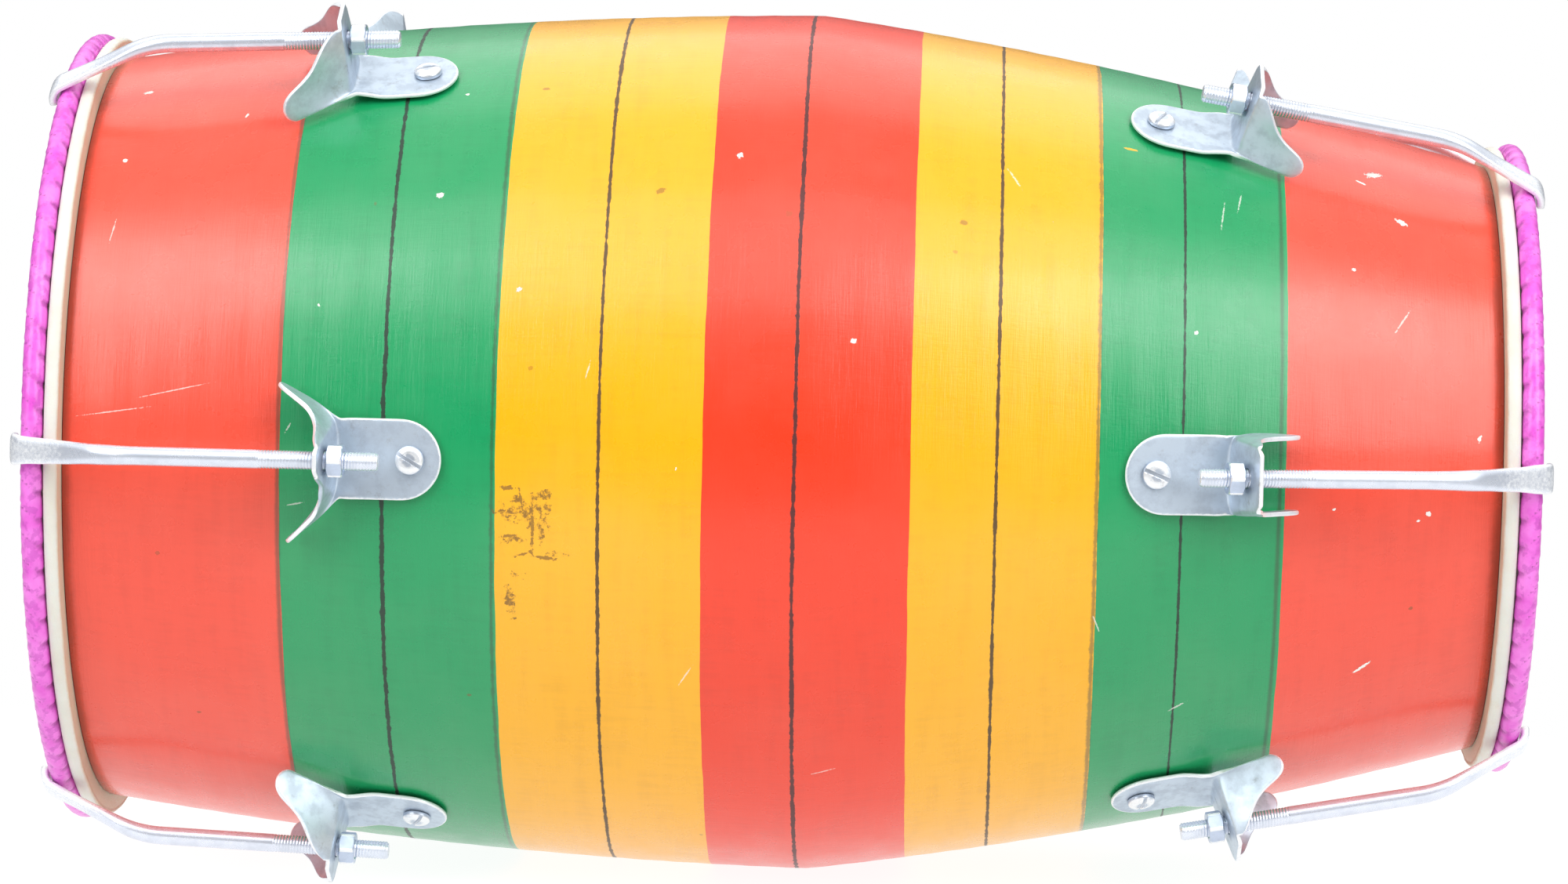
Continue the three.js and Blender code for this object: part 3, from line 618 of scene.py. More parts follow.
def make_enamel(effects):
    """Brushed gloss enamel in seven bands, with drawn rings, chips, scratches and grime."""
    material, sketch, shader = make_material("banded enamel")
    place = sketch.place()
    grain = sketch.use(effects["grain"], {"Place": place, "Wood": 0.6, "Brush": 1.3}).outputs
    faded = sketch.remap(sketch.noise(place, 17.0, 4.0, 0.6), 0.4, 0.75, 0.0, 0.02)
    light = sketch.mix(faded, banded_colour(sketch, place), (1, 0.86, 0.7, 1), "SCREEN")
    dark = sketch.remap(grain["Streak"], 0.45, 0.72, 0.0, 0.13)
    colour = sketch.mix(dark, light, (0.42, 0.36, 0.34, 1), "MULTIPLY")
    colour, lines = add_rings(sketch, effects, place, colour)
    colour, dirt, chips = add_wear(sketch, effects, place, colour)
    sketch.feed(shader["Base Color"], colour)

    gloss = sketch.remap(sketch.noise(place, 60.0, 4.0, 0.6), 0.3, 0.75, 0.25, 0.36)
    spoiled = sketch.joined([chips, dirt, lines])
    sketch.feed(shader["Roughness"], sketch.maths("MULTIPLY_ADD", spoiled, 0.35, gloss))
    waves = sketch.bump(sketch.noise(place, 26.0, 2.0), 0.25 * mm, 0.35)
    brushed = sketch.bump(grain["Height"], 0.09 * mm, 0.85, waves)
    relief = sketch.maths("SUBTRACT", sketch.maths("MULTIPLY", lines, 0.35), chips)
    sketch.feed(shader["Normal"], sketch.bump(relief, 0.12 * mm, 0.9, brushed))
    shader["Coat Weight"].default_value = 0.35
    shader["Coat Roughness"].default_value = 0.16
    return material


def make_bare_wood():
    """The unpainted inside, turned and left rough."""
    material, sketch, shader = make_material("turned wood")
    place = sketch.place()
    rings = sketch.noise(sketch.scaled(place, (0.08, 1.0, 1.0)), 160.0, 6.0, 0.65)
    tool = sketch.noise(sketch.scaled(place, (1.0, 0.05, 0.05)), 800.0, 2.0)
    colour = sketch.mix(sketch.remap(rings, 0.3, 0.7), seen(190, 140, 90), seen(120, 78, 44))
    sketch.feed(shader["Base Color"], colour)
    sketch.feed(shader["Roughness"], sketch.remap(rings, 0.2, 0.8, 0.6, 0.8))
    sketch.feed(shader["Normal"], sketch.bump(sketch.maths("ADD", rings, tool), 0.2 * mm))
    return material


def make_rawhide(effects):
    """Goat hide dried over the rim: cream, tan where it was cut, greasy where hands strike it."""
    material, sketch, shader = make_material("rawhide")
    place = sketch.place()
    hide = sketch.use(effects["hide"], {
        "Place": place, "Pale": seen(226, 225, 216), "Tan": seen(206, 190, 164), "Age": 0.3,
    }).outputs
    cut = sketch.mark("cut_edge")
    ragged = sketch.maths("ADD", cut, sketch.maths("MULTIPLY", sketch.noise(place, 230.0, 4.0, 0.7), 0.5))
    colour = sketch.mix(sketch.remap(ragged, 0.75, 1.3), hide["Color"], seen(206, 190, 164))
    worn = sketch.mark("played")
    handled = sketch.maths("MULTIPLY", worn, sketch.remap(sketch.noise(place, 30.0, 5.0, 0.65), 0.3, 0.7))
    colour = sketch.mix(sketch.maths("MULTIPLY", handled, 0.45), colour, seen(168, 132, 88))
    sketch.feed(shader["Base Color"], colour)
    sketch.feed(shader["Roughness"], sketch.maths("MULTIPLY_ADD", handled, -0.15, 0.55))
    sketch.feed(shader["Normal"], sketch.bump(hide["Height"], 0.12 * mm, 0.7))
    shader["Subsurface Weight"].default_value = 0.12
    shader["Subsurface Scale"].default_value = 2 * mm
    return material


def make_tape():
    """Glossy ribbon, wound so that each turn covers the edge of the last one."""
    material, sketch, shader = make_material("pink tape")
    place = sketch.place()
    turn = sketch.mark("turn_share")
    pinch = sketch.mark("pinch")
    cloud = sketch.noise(place, 95.0, 4.0, 0.6)
    wrinkle = sketch.noise(sketch.scaled(place, (1.0, 1.0, 0.5)), 620.0, 3.0, 0.6)
    blotches = sketch.remap(sketch.noise(place, 280.0, 3.0, 0.6), 0.5, 0.62)
    colour = sketch.mix(sketch.remap(cloud, 0.3, 0.72), seen(228, 84, 208), seen(244, 130, 228))
    colour = sketch.mix(sketch.maths("MULTIPLY", blotches, 0.5), colour, seen(192, 64, 180))
    # Painted shade: darker where each turn runs under the next and in the pinched pockets
    under = sketch.maths("MAXIMUM", sketch.remap(turn, 0.86, 1.0), sketch.maths("MULTIPLY", pinch, 0.9))
    colour = sketch.mix(sketch.maths("MULTIPLY", under, 0.75), colour, seen(142, 44, 124))
    sketch.feed(shader["Base Color"], colour)
    gloss = sketch.remap(cloud, 0.2, 0.8, 0.28, 0.42)
    sketch.feed(shader["Roughness"], sketch.maths("MULTIPLY_ADD", under, 0.25, gloss))
    sketch.feed(shader["Normal"], sketch.bump(wrinkle, 0.12 * mm, 0.5))
    shader["Coat Weight"].default_value = 0.3
    shader["Coat Roughness"].default_value = 0.2
    return material


def make_zinc(effects, name, plating, dull, bright, dirt, clouds, shine, relief):
    """One zinc-plated finish; each kind of hardware has its own plating, dullness and dirt."""
    material, sketch, shader = make_material(name)
    place = sketch.place()
    worn = sketch.use(effects["zinc"], {
        "Place": place, "Edge": sketch.mark("edge"), "Plating": plating, "Dull": dull, "Bright": bright,
        "Dirt": dirt, "Clouds": clouds, "Shine": shine,
    }).outputs
    sketch.feed(shader["Base Color"], worn["Color"])
    sketch.feed(shader["Roughness"], worn["Roughness"])
    sketch.feed(shader["Normal"], sketch.bump(worn["Height"], relief, 0.6))
    sketch.feed(shader["Metallic"], worn["Metal"])
    return material


def make_dull_coat(name, light, dark, scale, rough):
    """A plain rough finish for the sealed pieces."""
    material, sketch, shader = make_material(name)
    cloud = sketch.noise(sketch.place(), scale, 6.0, 0.7)
    sketch.feed(shader["Base Color"], sketch.mix(sketch.remap(cloud, 0.35, 0.68), light, dark))
    sketch.feed(shader["Roughness"], sketch.remap(cloud, 0.2, 0.8, rough - 0.1, rough + 0.1))
    sketch.feed(shader["Normal"], sketch.bump(cloud, 0.3 * mm, 0.7))
    return material


# Meshes

def smooth_by_angle(mesh, degrees):
    """Shades the mesh smooth, apart from the edges that turn by more than the angle."""
    work = bmesh.new()
    work.from_mesh(mesh)
    limit = math.radians(degrees)
    for face in work.faces:
        face.smooth = True
    for edge in work.edges:
        edge.smooth = len(edge.link_faces) == 2 and edge.calc_face_angle(0) < limit
    work.to_mesh(mesh)
    work.free()


def turn_faces_out(mesh):
    work = bmesh.new()
    work.from_mesh(mesh)
    bmesh.ops.recalc_face_normals(work, faces=work.faces)
    work.to_mesh(mesh)
    work.free()


def make_mesh(name, points, faces, marks=None):
    """A welded mesh from points and faces, with its named point marks and its faces turned outwards."""
    mesh = bpy.data.meshes.new(name)
    mesh.from_pydata(np.asarray(points).reshape(-1, 3).tolist(), [], np.asarray(faces).tolist())
    for key, values in (marks or {}).items():
        layer = mesh.attributes.new(key, "FLOAT", "POINT")
        layer.data.foreach_set("value", np.asarray(values, np.float32).ravel())
    work = bmesh.new()
    work.from_mesh(mesh)
    bmesh.ops.remove_doubles(work, verts=work.verts, dist=point_weld)
    bmesh.ops.dissolve_degenerate(work, edges=work.edges, dist=point_weld)
    bmesh.ops.recalc_face_normals(work, faces=work.faces)
    work.to_mesh(mesh)
    work.free()
    return mesh


def add_piece(name, mesh, material, node, body="drum"):
    """Puts a mesh in the scene in place of its CAD node, on the node's body."""
    piece = put_in_scene(name, mesh)
    if not mesh.materials:
        mesh.materials.append(material)
    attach(piece, body)
    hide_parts(node)
    return piece


def grid_faces(rows, columns, wrap_rows=False, wrap_columns=False):
    """Quads between the points of a grid that is stored row by row."""
    row = np.arange(rows if wrap_rows else rows - 1)[:, None]
    column = np.arange(columns if wrap_columns else columns - 1)[None, :]
    below, beside = (row + 1) % rows, (column + 1) % columns
    near, far = row * columns, below * columns
    return np.stack((near + column, near + beside, far + beside, far + column), -1).reshape(-1, 4)


def point_row(x, y, z):
    """A row of points; any of the three may be one value for the whole row."""
    return np.stack(np.broadcast_arrays(x, y, z), -1)


def turn_outline(outline, around):
    """Points of an outline of stations and radii at each step round the drum: outline by step by xyz."""
    outline = np.asarray(outline)
    angles = steps_round(around)
    points = np.empty((len(outline), around, 3))
    points[..., 0] = outline[:, None, 0]
    points[..., 1] = -outline[:, None, 1] * np.cos(angles)
    points[..., 2] = outline[:, None, 1] * np.sin(angles)
    return points


def wave(seed, angles, cycles):
    """A smooth random wave round a circle, from -1 to 1."""
    rng = np.random.default_rng(seed)
    total = np.zeros_like(angles)
    for n in cycles:
        total += np.sin(n * angles + rng.uniform(0, 2 * math.pi)) * rng.uniform(0.5, 1)
    return total / len(cycles)


def make_shell(enamel, wood):
    outline = []
    for end, sign in (("bass", -1), ("treble", 1)):
        centre, radius, belly, shoulder = shell_arc(end)
        start = math.atan2(belly.y - centre.y, belly.x - centre.x)
        stop = math.atan2(shoulder.y - centre.y, shoulder.x - centre.x)
        angles = np.linspace(start, stop, shell_along)
        half = [(sign * (centre.x + radius * math.cos(a)), centre.y + radius * math.sin(a)) for a in angles]
        rim = abs(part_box("shell")[0 if end == "bass" else 1].x)
        half += [(sign * shoulder.x, rim_radius[end]), (sign * rim, rim_radius[end])]
        outline += half[::-1] if end == "bass" else half[1:]
    painted = len(outline)
    outline += [
        (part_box("shell")[1].x, rim_radius["treble"] - rim_wall),
        (belly_offset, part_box("shell")[1].z - belly_wall),
        (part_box("shell")[0].x, rim_radius["bass"] - rim_wall),
    ]
    points = turn_outline(outline, shell_around)
    angles = steps_round(shell_around)
    for row in range(2, painted - 2):
        dip = turning_marks * (1 + 0.6 * wave(row // 3, angles, (2, 3, 5)) + 0.4 * math.sin(row * 1.7))
        points[row, :, 1:] *= (1 - dip / outline[row][1])[:, None]
    mesh = make_mesh("shell", points, grid_faces(len(outline), shell_around, True, True))
    mesh.materials.append(enamel)
    mesh.materials.append(wood)
    inner_radius = min(rim_radius.values()) - paint_edge
    for face in mesh.polygons:
        away = math.hypot(face.center.y, face.center.z)
        facing_in = face.normal.y * face.center.y + face.normal.z * face.center.z < 0
        face.material_index = 1 if facing_in or away < inner_radius else 0
    smooth_by_angle(mesh, 30)
    return add_piece("painted_shell", mesh, enamel, "shell")


def make_skin(end, sign, rawhide, seed):
    low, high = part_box(f"{end}_skin")
    face = max(abs(low.x), abs(high.x))
    inner = min(abs(low.x), abs(high.x))
    hoop_low, hoop_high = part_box(f"{end}_counter_hoop")
    lap_top = min(abs(hoop_low.x), abs(hoop_high.x)) - hoop_clearance
    lap_radius = high.z
    thick = skin_thickness[end]
    collar = rim_radius[end] + hoop_clearance
    outline = [
        (face - thick, 0), (face - thick, collar), (lap_top - thick, collar),
        (lap_top - thick, lap_radius - thick), (inner + thick, lap_radius - thick), (inner + thick, collar),
        (inner, collar), (inner, lap_radius - lap_roll * 1.6),
    ]
    roll_from = len(outline) - 1
    middle = (inner + lap_top) / 2
    for t in np.linspace(math.radians(200), math.radians(10), 12):
        bulge = max(math.sin(t), -0.2)
        outline.append((middle + (lap_top - inner) / 2 * math.cos(t), lap_radius - lap_roll * (1 - bulge)))
    roll_to = len(outline)
    outline += [
        (lap_top, collar + thick), (face - face_roll, collar + thick),
        (face - face_edge, collar + 0.75 * thick), (face, collar - face_bevel),
    ]
    outline += [(face, collar * share) for share in (0.9, 0.75, 0.55, 0.35, 0.15, 0)]
    outline = np.clip(np.asarray(outline), (inner, 0), (face, lap_radius))
    points = turn_outline(outline, skin_around)
    angles = steps_round(skin_around)
    wavy = (1 + wave(seed, angles, (7, 11, 19, 31, 43))) / 2
    lumps = (1 + wave(seed + 1, angles, (9, 23, 37, 61))) / 2
    for row in range(roll_from, roll_to):
        share = (outline[row, 0] - inner) / (lap_top - inner)
        points[row, :, 0] += lap_waviness * 1.6 * wavy * (1 - share)
        points[row, :, 1:] *= (1 - lap_waviness * lumps / outline[row, 1])[:, None]
    points[..., 0] *= sign
    cut = np.zeros(points.shape[:2])
    for row in range(roll_from - 1, roll_to):
        share = (outline[row, 0] - inner) / (lap_top - inner)
        cut[row] = max(0, 1 - share * 3)
    played = np.zeros(points.shape[:2])
    for row in range(roll_to + 3, len(outline)):
        played[row] = 1 - abs(outline[row, 1] / collar - 0.5)
    marks = {"cut_edge": cut, "played": played}
    mesh = make_mesh(f"{end}_hide", points, grid_faces(len(outline), skin_around, False, True), marks)
    smooth_by_angle(mesh, 50)
    return add_piece(f"{end}_rawhide_head", mesh, rawhide, f"{end}_skin")


def make_hoop(end, sign, tape, seed):
    """An iron ring wound with tape: each turn starts on top of the last, and is pinched beside the lap."""
    low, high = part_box(f"{end}_counter_hoop")
    bar = (high.x - low.x) / 2
    ring = high.z - bar
    turns = round(2 * math.pi * ring / tape_pitch)
    around = turns * samples_to_a_turn
    phi = steps_round(around)[:, None]
    psi = steps_round(bar_around)[None, :]
    rng = np.random.default_rng(seed)
    position = turns * phi / (2 * math.pi) + 0.5 * (1 - np.cos(psi)) * tape_slant
    which = np.floor(position).astype(int) % turns
    share = position - np.floor(position)
    loose = rng.uniform(0.4, 1.0, turns)[which]
    dip = tape_step * (1 - np.minimum(share / 0.12, 1) * (1 - 0.75 * share)) * loose
    inner_side = np.exp(-((np.cos(psi) + 0.75) / 0.35) ** 2) * (np.sin(psi) > -0.9)
    outer_side = np.exp(-((np.cos(psi) - 0.8) / 0.3) ** 2)
    pinch = inner_side * np.exp(-((share - 0.9) / 0.13) ** 2)
    pinch = pinch + 0.45 * outer_side * np.exp(-((share - 0.4) / 0.13) ** 2)
    thick = bar - dip - tape_pinch * pinch * loose
    points = np.empty((around, bar_around, 3))
    away = ring + thick * np.sin(psi)
    points[..., 0] = (low.x + high.x) / 2 + sign * thick * np.cos(psi)
    points[..., 1] = -away * np.cos(phi)
    points[..., 2] = away * np.sin(phi)
    marks = {"turn_share": share, "pinch": np.clip(pinch, 0, 1)}
    mesh = make_mesh(f"{end}_taping", points, grid_faces(around, bar_around, True, True), marks)
    smooth_by_angle(mesh, 60)
    return add_piece(f"{end}_taped_hoop", mesh, tape, f"{end}_counter_hoop")


# Tuning stations

def station_turn(end, k):
    """Turns a station drawn above the +X half of the axis to its own place round its own head."""
    outwards = Vector(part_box(f"{end}_nut_{k}")[0]) + Vector(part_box(f"{end}_nut_{k}")[1])
    lean = math.atan2(outwards.y, outwards.z)
    turn = Matrix.Rotation(-lean, 4, "X")
    return turn @ Matrix.Rotation(math.pi, 4, "Z") if end == "bass" else turn


def bracket_frame(end, k):
    """x towards the head, z out of the shell, origin at the foot of the flange's outer face."""
    middle = bracket_station + plate_length * (shift_shares[end][k - 1] - 0.5)
    radius, fall = shell_surface(end, middle)
    turn = Matrix.Rotation(fall, 4, "Y")
    place = Vector((middle, 0, radius)) + (turn @ Vector((plate_length / 2, 0, hoop_clearance)))
    turn.translation = place
    return turn


def rod_frame(end, k):
    """x along the rod to the head, z outwards, origin at the nut's bearing face, from the nut's joint."""
    joint = next(j for j in frame["joints"] if j["child"] == f"{end}_nut_{k}")
    along = -Vector(joint["axis"]).normalized()
    place = Vector(joint["pos_m"])
    out = Vector((0, place.y, place.z))
    out = (out - along * out.dot(along)).normalized()
    turn = Matrix((along, out.cross(along), out)).transposed().to_4x4()
    turn.translation = place
    return turn


def evaluated(piece):
    """The piece's mesh with its modifiers applied, and the piece gone."""
    graph = bpy.context.evaluated_depsgraph_get()
    mesh = bpy.data.meshes.new_from_object(piece.evaluated_get(graph))
    bpy.data.objects.remove(piece)
    return mesh


def shaped(mesh, modifiers):
    """The mesh after a list of modifiers, each a kind with its settings."""
    piece = put_in_scene("bench", mesh)
    for kind, settings in modifiers:
        modifier = piece.modifiers.new(kind.lower(), kind)
        for key, value in settings.items():
            setattr(modifier, key, value)
    return evaluated(piece)


def cutter(radius, length, around, pose):
    """A round bar along +X, used to drill a mesh."""
    circle = [(radius * math.cos(a), radius * math.sin(a)) for a in steps_round(around)]
    points = [(x, y, z) for x in (-length, length) for y, z in circle]
    caps = [list(range(around)), list(range(around, 2 * around))]
    mesh = bpy.data.meshes.new("drill")
    mesh.from_pydata(points, [], grid_faces(2, around, False, True).tolist() + caps)
    turn_faces_out(mesh)
    mesh.transform(pose)
    return put_in_scene("drill", mesh)


def smooth_step(value):
    value = np.clip(value, 0, 1)
    return value * value * (3 - 2 * value)


def wing_edge(count, most, height, cut_away):
    """Reach and height shares at even steps along a wing's free edge, from its low tip up to the flange."""
    shares = np.asarray(wing_edge_shares, float)
    shares[:, 0] *= 1 - cut_away * smooth_step((shares[:, 1] - 0.28) / 0.34)
    steps = np.linalg.norm(np.diff(shares * (most, height), axis=0), axis=1)
    runs = np.concatenate([[0], np.cumsum(steps)])
    even = np.linspace(0, runs[-1], count)
    return np.interp(even, runs, shares[:, 0]), np.interp(even, runs, shares[:, 1])


def plate_rows():
    """The rows of the sheet's middle surface round the plate's end, and where its straight part starts."""
    across = np.linspace(-1, 1, columns)
    straight_from = plate_half - plate_length
    rows = []
    for turn in np.linspace(quarter_turn, math.radians(9), 10):
        away = np.abs(across) * plate_half * math.sin(turn)
        rows.append(point_row(straight_from - away, across * plate_half * math.cos(turn), cad_sheet / 2))
    return rows, across, straight_from


def lifted(row, across, share):
    """A row with its two ends lifted, as the plate's corners are where the wings pull on them."""
    near = smooth_step((row[:, 0] + lift_from) / lift_run) * smooth_step((np.abs(across) - 0.55) / 0.45)
    row[:, 2] += corner_lift * near * share
    return row


def bracket_surface(end, k, rng):
    """The middle surface of one bracket, before it is thickened, as points and faces."""
    half_sheet = cad_sheet / 2
    lean = fold_opening[end]
    top_half = plate_half * top_shares[end][k - 1]
    tilt = np.array([[math.cos(lean), 0, -math.sin(lean)], [0, 1, 0], [math.sin(lean), 0, math.cos(lean)]])
    rows, across, straight_from = plate_rows()
    outer = fold_inner + cad_sheet
    fold_from = -outer * math.tan((quarter_turn - lean) / 2)
    for x in np.linspace(straight_from, fold_from, 10)[:-1]:
        rows.append(lifted(point_row(x, across * plate_half, half_sheet), across, 1))
    first = len(rows)
    middle = fold_inner + half_sheet
    for share in np.linspace(0, 1, 4):
        turn = (quarter_turn - lean) * share
        half = plate_half - half_sheet * (0.3 + 0.7 * share)
        x, z = fold_from + middle * math.sin(turn), outer - middle * math.cos(turn)
        rows.append(lifted(point_row(x, across * half, z), across, 1 - share))
    shoulder = flange_height - flange_corner
    rise = shoulder - wing_rise
    heights = list(np.linspace(-fold_from, shoulder, 11)[1:])
    last = len(rows) + len(heights)
    for height in heights + [shoulder + 0.5 * flange_corner, shoulder + 0.9 * flange_corner]:
        share = (height - wing_rise) / rise
        rounding = 0.8 * max(0, height - shoulder)
        half = plate_half + (top_half - plate_half) * min(share, 1) - half_sheet - rounding
        rows.append(point_row(-half_sheet, across * half, height) @ tilt)
    surface = np.array(rows)
    points = [surface.reshape(-1, 3)]
    faces = [grid_faces(len(rows), columns)]
    count = len(rows) * columns
    seat_radius, _ = shell_surface(end, bracket_station)
    for side in (-1, 1):
        base = surface[first:last, 0 if side < 0 else columns - 1]
        foot = np.array([-half_sheet, side * (plate_half - half_sheet), wing_rise])
        along = np.array([0, side * (top_half - plate_half), rise])
        length = np.linalg.norm(along)
        along = along / length
        most = wing_reach * reach_shares[end][k - 1]
        splay, back, cut_away = own_wings.get(f"{end}_{k}", usual_wings[end])[(side + 1) // 2]
        splay, back = math.radians(splay), math.radians(back)
        spread = side * math.sin(splay)
        out = np.array([math.cos(splay), along[2] * spread, -along[1] * spread])
        tip, root = (foot + out * most) @ tilt, foot @ tilt
        drop = (tip[2] - root[2] + (tip[1] ** 2 - root[1] ** 2) / (2 * seat_radius)) / (along @ tilt)[2]
        reach, up = wing_edge(len(base), most, length, cut_away)
        upright = tilt @ np.array([-math.sin(back), 0, math.cos(back)])
        blend = smooth_step(reach / 0.45)[:, None] * wing_twist
        rising = along * (1 - blend) + upright * blend
        rising /= np.linalg.norm(rising, axis=1)[:, None]
        edge = foot + np.outer(reach * most, out) - np.outer(drop * reach, along)
        edge = (edge + rising * (up * (length + drop * reach))[:, None]) @ tilt
        steps = np.array(wing_step_shares)[None, :, None]
        bow = rng.uniform(0.5, 1.3) * wing_bow * np.linspace(1, 0.4, len(base))[:, None, None]
        through = side * np.cross(out, along) @ tilt
        wing = base[:, None] + (edge - base)[:, None] * steps - through * bow * np.sin(math.pi * steps)
        points.append(wing.reshape(-1, 3))
        faces.append(grid_faces(len(base), len(wing_step_shares)) + count)
        count += len(base) * len(wing_step_shares)
    return np.concatenate(points), np.concatenate(faces)


def make_bracket(end, k, zinc):
    """One folded bracket: plate, flange and two wings in a single sheet, with its edges marked for wear and
    a painted highlight.
    """
    points, faces = bracket_surface(end, k, np.random.default_rng(100 + k + 10 * ends.index(end)))
    mesh = bpy.data.meshes.new("sheet")
    mesh.from_pydata(points.tolist(), [], faces.tolist())
    work = bmesh.new()
    work.from_mesh(mesh)
    bmesh.ops.remove_doubles(work, verts=work.verts, dist=sheet_weld)
    bmesh.ops.dissolve_degenerate(work, edges=work.edges, dist=sheet_weld)
    bmesh.ops.recalc_face_normals(work, faces=work.faces)
    inner = [v for v in work.verts if not v.is_boundary]
    crease = [v for v in inner if v.co.x > -crease_reach and v.co.z < crease_reach]
    every_way = {"use_axis_x": True, "use_axis_y": True, "use_axis_z": True}
    for _ in range(2):
        bmesh.ops.smooth_vert(work, verts=crease, factor=0.5, **every_way)
    # Rim marks: the plating whitens there, partly as wear, partly as a painted highlight
    edge_layer = work.verts.layers.float.new("edge")
    for v in work.verts:
        v[edge_layer] = 1.0 if v.is_boundary else 0.0
    work.to_mesh(mesh)
    work.free()
    creases = {"edge_crease_inner": 0.25, "edge_crease_outer": 0.25}
    mesh = shaped(mesh, [
        ("SOLIDIFY", {"thickness": sheet, "offset": 0, **creases}),
        ("SUBSURF", {"levels": 2, "render_levels": 2}),
    ])
    mesh.transform(station_turn(end, k) @ bracket_frame(end, k))
    drill = cutter(rod_hole_radius, drill_reach, 32, rod_frame(end, k))
    mesh = shaped(mesh, [("BOOLEAN", {"object": drill, "operation": "DIFFERENCE", "solver": "EXACT"})])
    bpy.data.objects.remove(drill)
    smooth_by_angle(mesh, 48)
    return add_piece(f"{end}_folded_bracket_{k}", mesh, zinc, f"{end}_bracket_{k}")


def make_screw_head():
    """A slotted pan head with a short shank, seated at z = 0. All twelve screws share its mesh."""
    dome = [(0, 0), (screw_radius * 0.45, 0), (screw_radius * 0.9, 0), (screw_radius, screw_foot)]
    for t in np.linspace(0, quarter_turn, 9):
        rise = screw_side + (screw_height - screw_side) * math.sin(t)
        dome.append((screw_radius * (0.52 + 0.48 * math.cos(t)), rise))
    dome += [(screw_radius * 0.25, screw_height * 1.01), (0, screw_height * 1.01)]
    around = 48
    angles = steps_round(around)
    rings = np.array([[(r * math.cos(a), r * math.sin(a), z) for a in angles] for r, z in dome])
    mesh = make_mesh("pan_head", rings, grid_faces(len(dome), around, False, True))
    bar = bpy.data.meshes.new("slot")
    work = bmesh.new()
    size = Matrix.Diagonal((screw_radius * 3, slot_width, slot_depth * 2, 1))
    bmesh.ops.create_cube(work, size=1, matrix=size)
    work.to_mesh(bar)
    work.free()
    bar.transform(Matrix.Translation((0, 0, screw_height)))
    slot = put_in_scene("slot", bar)
    sharp = {"limit_method": "ANGLE", "angle_limit": math.radians(40)}
    mesh = shaped(mesh, [
        ("BOOLEAN", {"object": slot, "operation": "DIFFERENCE", "solver": "EXACT"}),
        ("BEVEL", {"width": slot_bevel, "segments": 2, **sharp}),
    ])
    bpy.data.objects.remove(slot)
    # The dome's upper ring is marked fully worn, so it whitens: partly wear, partly a painted highlight on
    # the head's top
    edge = mesh.attributes.new("edge", "FLOAT", "POINT")
    worn = []
    for v in mesh.vertices:
        worn_and_highlit_top = v.co.z > screw_height * 0.55 and math.hypot(v.co.x, v.co.y) > screw_radius * 0.3
        worn.append(0.35 + 0.65 * worn_and_highlit_top)
    edge.data.foreach_set("value", worn)
    smooth_by_angle(mesh, 40)
    return mesh


def add_screw(end, k, head, zinc):
    seat = Matrix.Translation((screw_inset - plate_length, 0, cad_sheet))
    turn = Matrix.Rotation(math.radians(slot_degrees[k - 1] + 40 * ends.index(end)), 4, "Z")
    mesh = head.copy()
    mesh.transform(station_turn(end, k) @ bracket_frame(end, k) @ seat @ turn)
    return add_piece(f"{end}_slotted_screw_{k}", mesh, zinc, f"{end}_screw_{k}")


def nut_outline():
    """The nut's section from its bore outwards and back, as height and the most that its radius may be."""
    face = nut_flat * 0.965
    slant = math.tan(math.radians(60))
    rings = [(nut_height - nut_chamfer, nut_bore), (nut_height, nut_bore + nut_chamfer), (nut_height, face)]
    for lift in (0.12, 0.25, 0.38, nut_chamfer / mm):
        rings.append((nut_height - lift * mm, face + lift * mm * slant))
    lower = [(nut_height - height, limit) for height, limit in rings[::-1]]
    return rings + lower


def make_nut(end, k, zinc):
    """A chamfered hexagon nut whose corners lie where the CAD nut's do."""
    node = f"{end}_nut_{k}"
    pose = rod_frame(end, k)
    inverse = pose.inverted()
    corners = [inverse @ v.co for v in frame["nodes"][node].data.vertices]
    corner = max(corners, key=lambda v: math.hypot(v.y, v.z))
    start = math.atan2(corner.z, corner.y)
    around = 72
    angles = start + steps_round(around)
    side = (angles - start) % (math.pi / 3) - math.pi / 6
    hexagon = nut_flat / np.cos(side)
    rings = []
    for height, limit in nut_outline():
        radius = np.minimum(hexagon, limit)
        rings.append(point_row(-height, radius * np.cos(angles), radius * np.sin(angles)))
    rings = np.array(rings)
    limits = np.array([limit for _, limit in nut_outline()])
    # Corner chamfers are marked, so the plating whitens there: partly wear, partly a painted highlight
    edge = np.where((limits > nut_flat)[:, None] & (hexagon > nut_flat * 1.1)[None, :], 1.0, 0.25)
    mesh = make_mesh("nut", rings, grid_faces(len(rings), around, True, True), {"edge": edge})
    mesh.transform(pose)
    smooth_by_angle(mesh, 22)
    return add_piece(f"{end}_hexagon_nut_{k}", mesh, zinc, node, node)


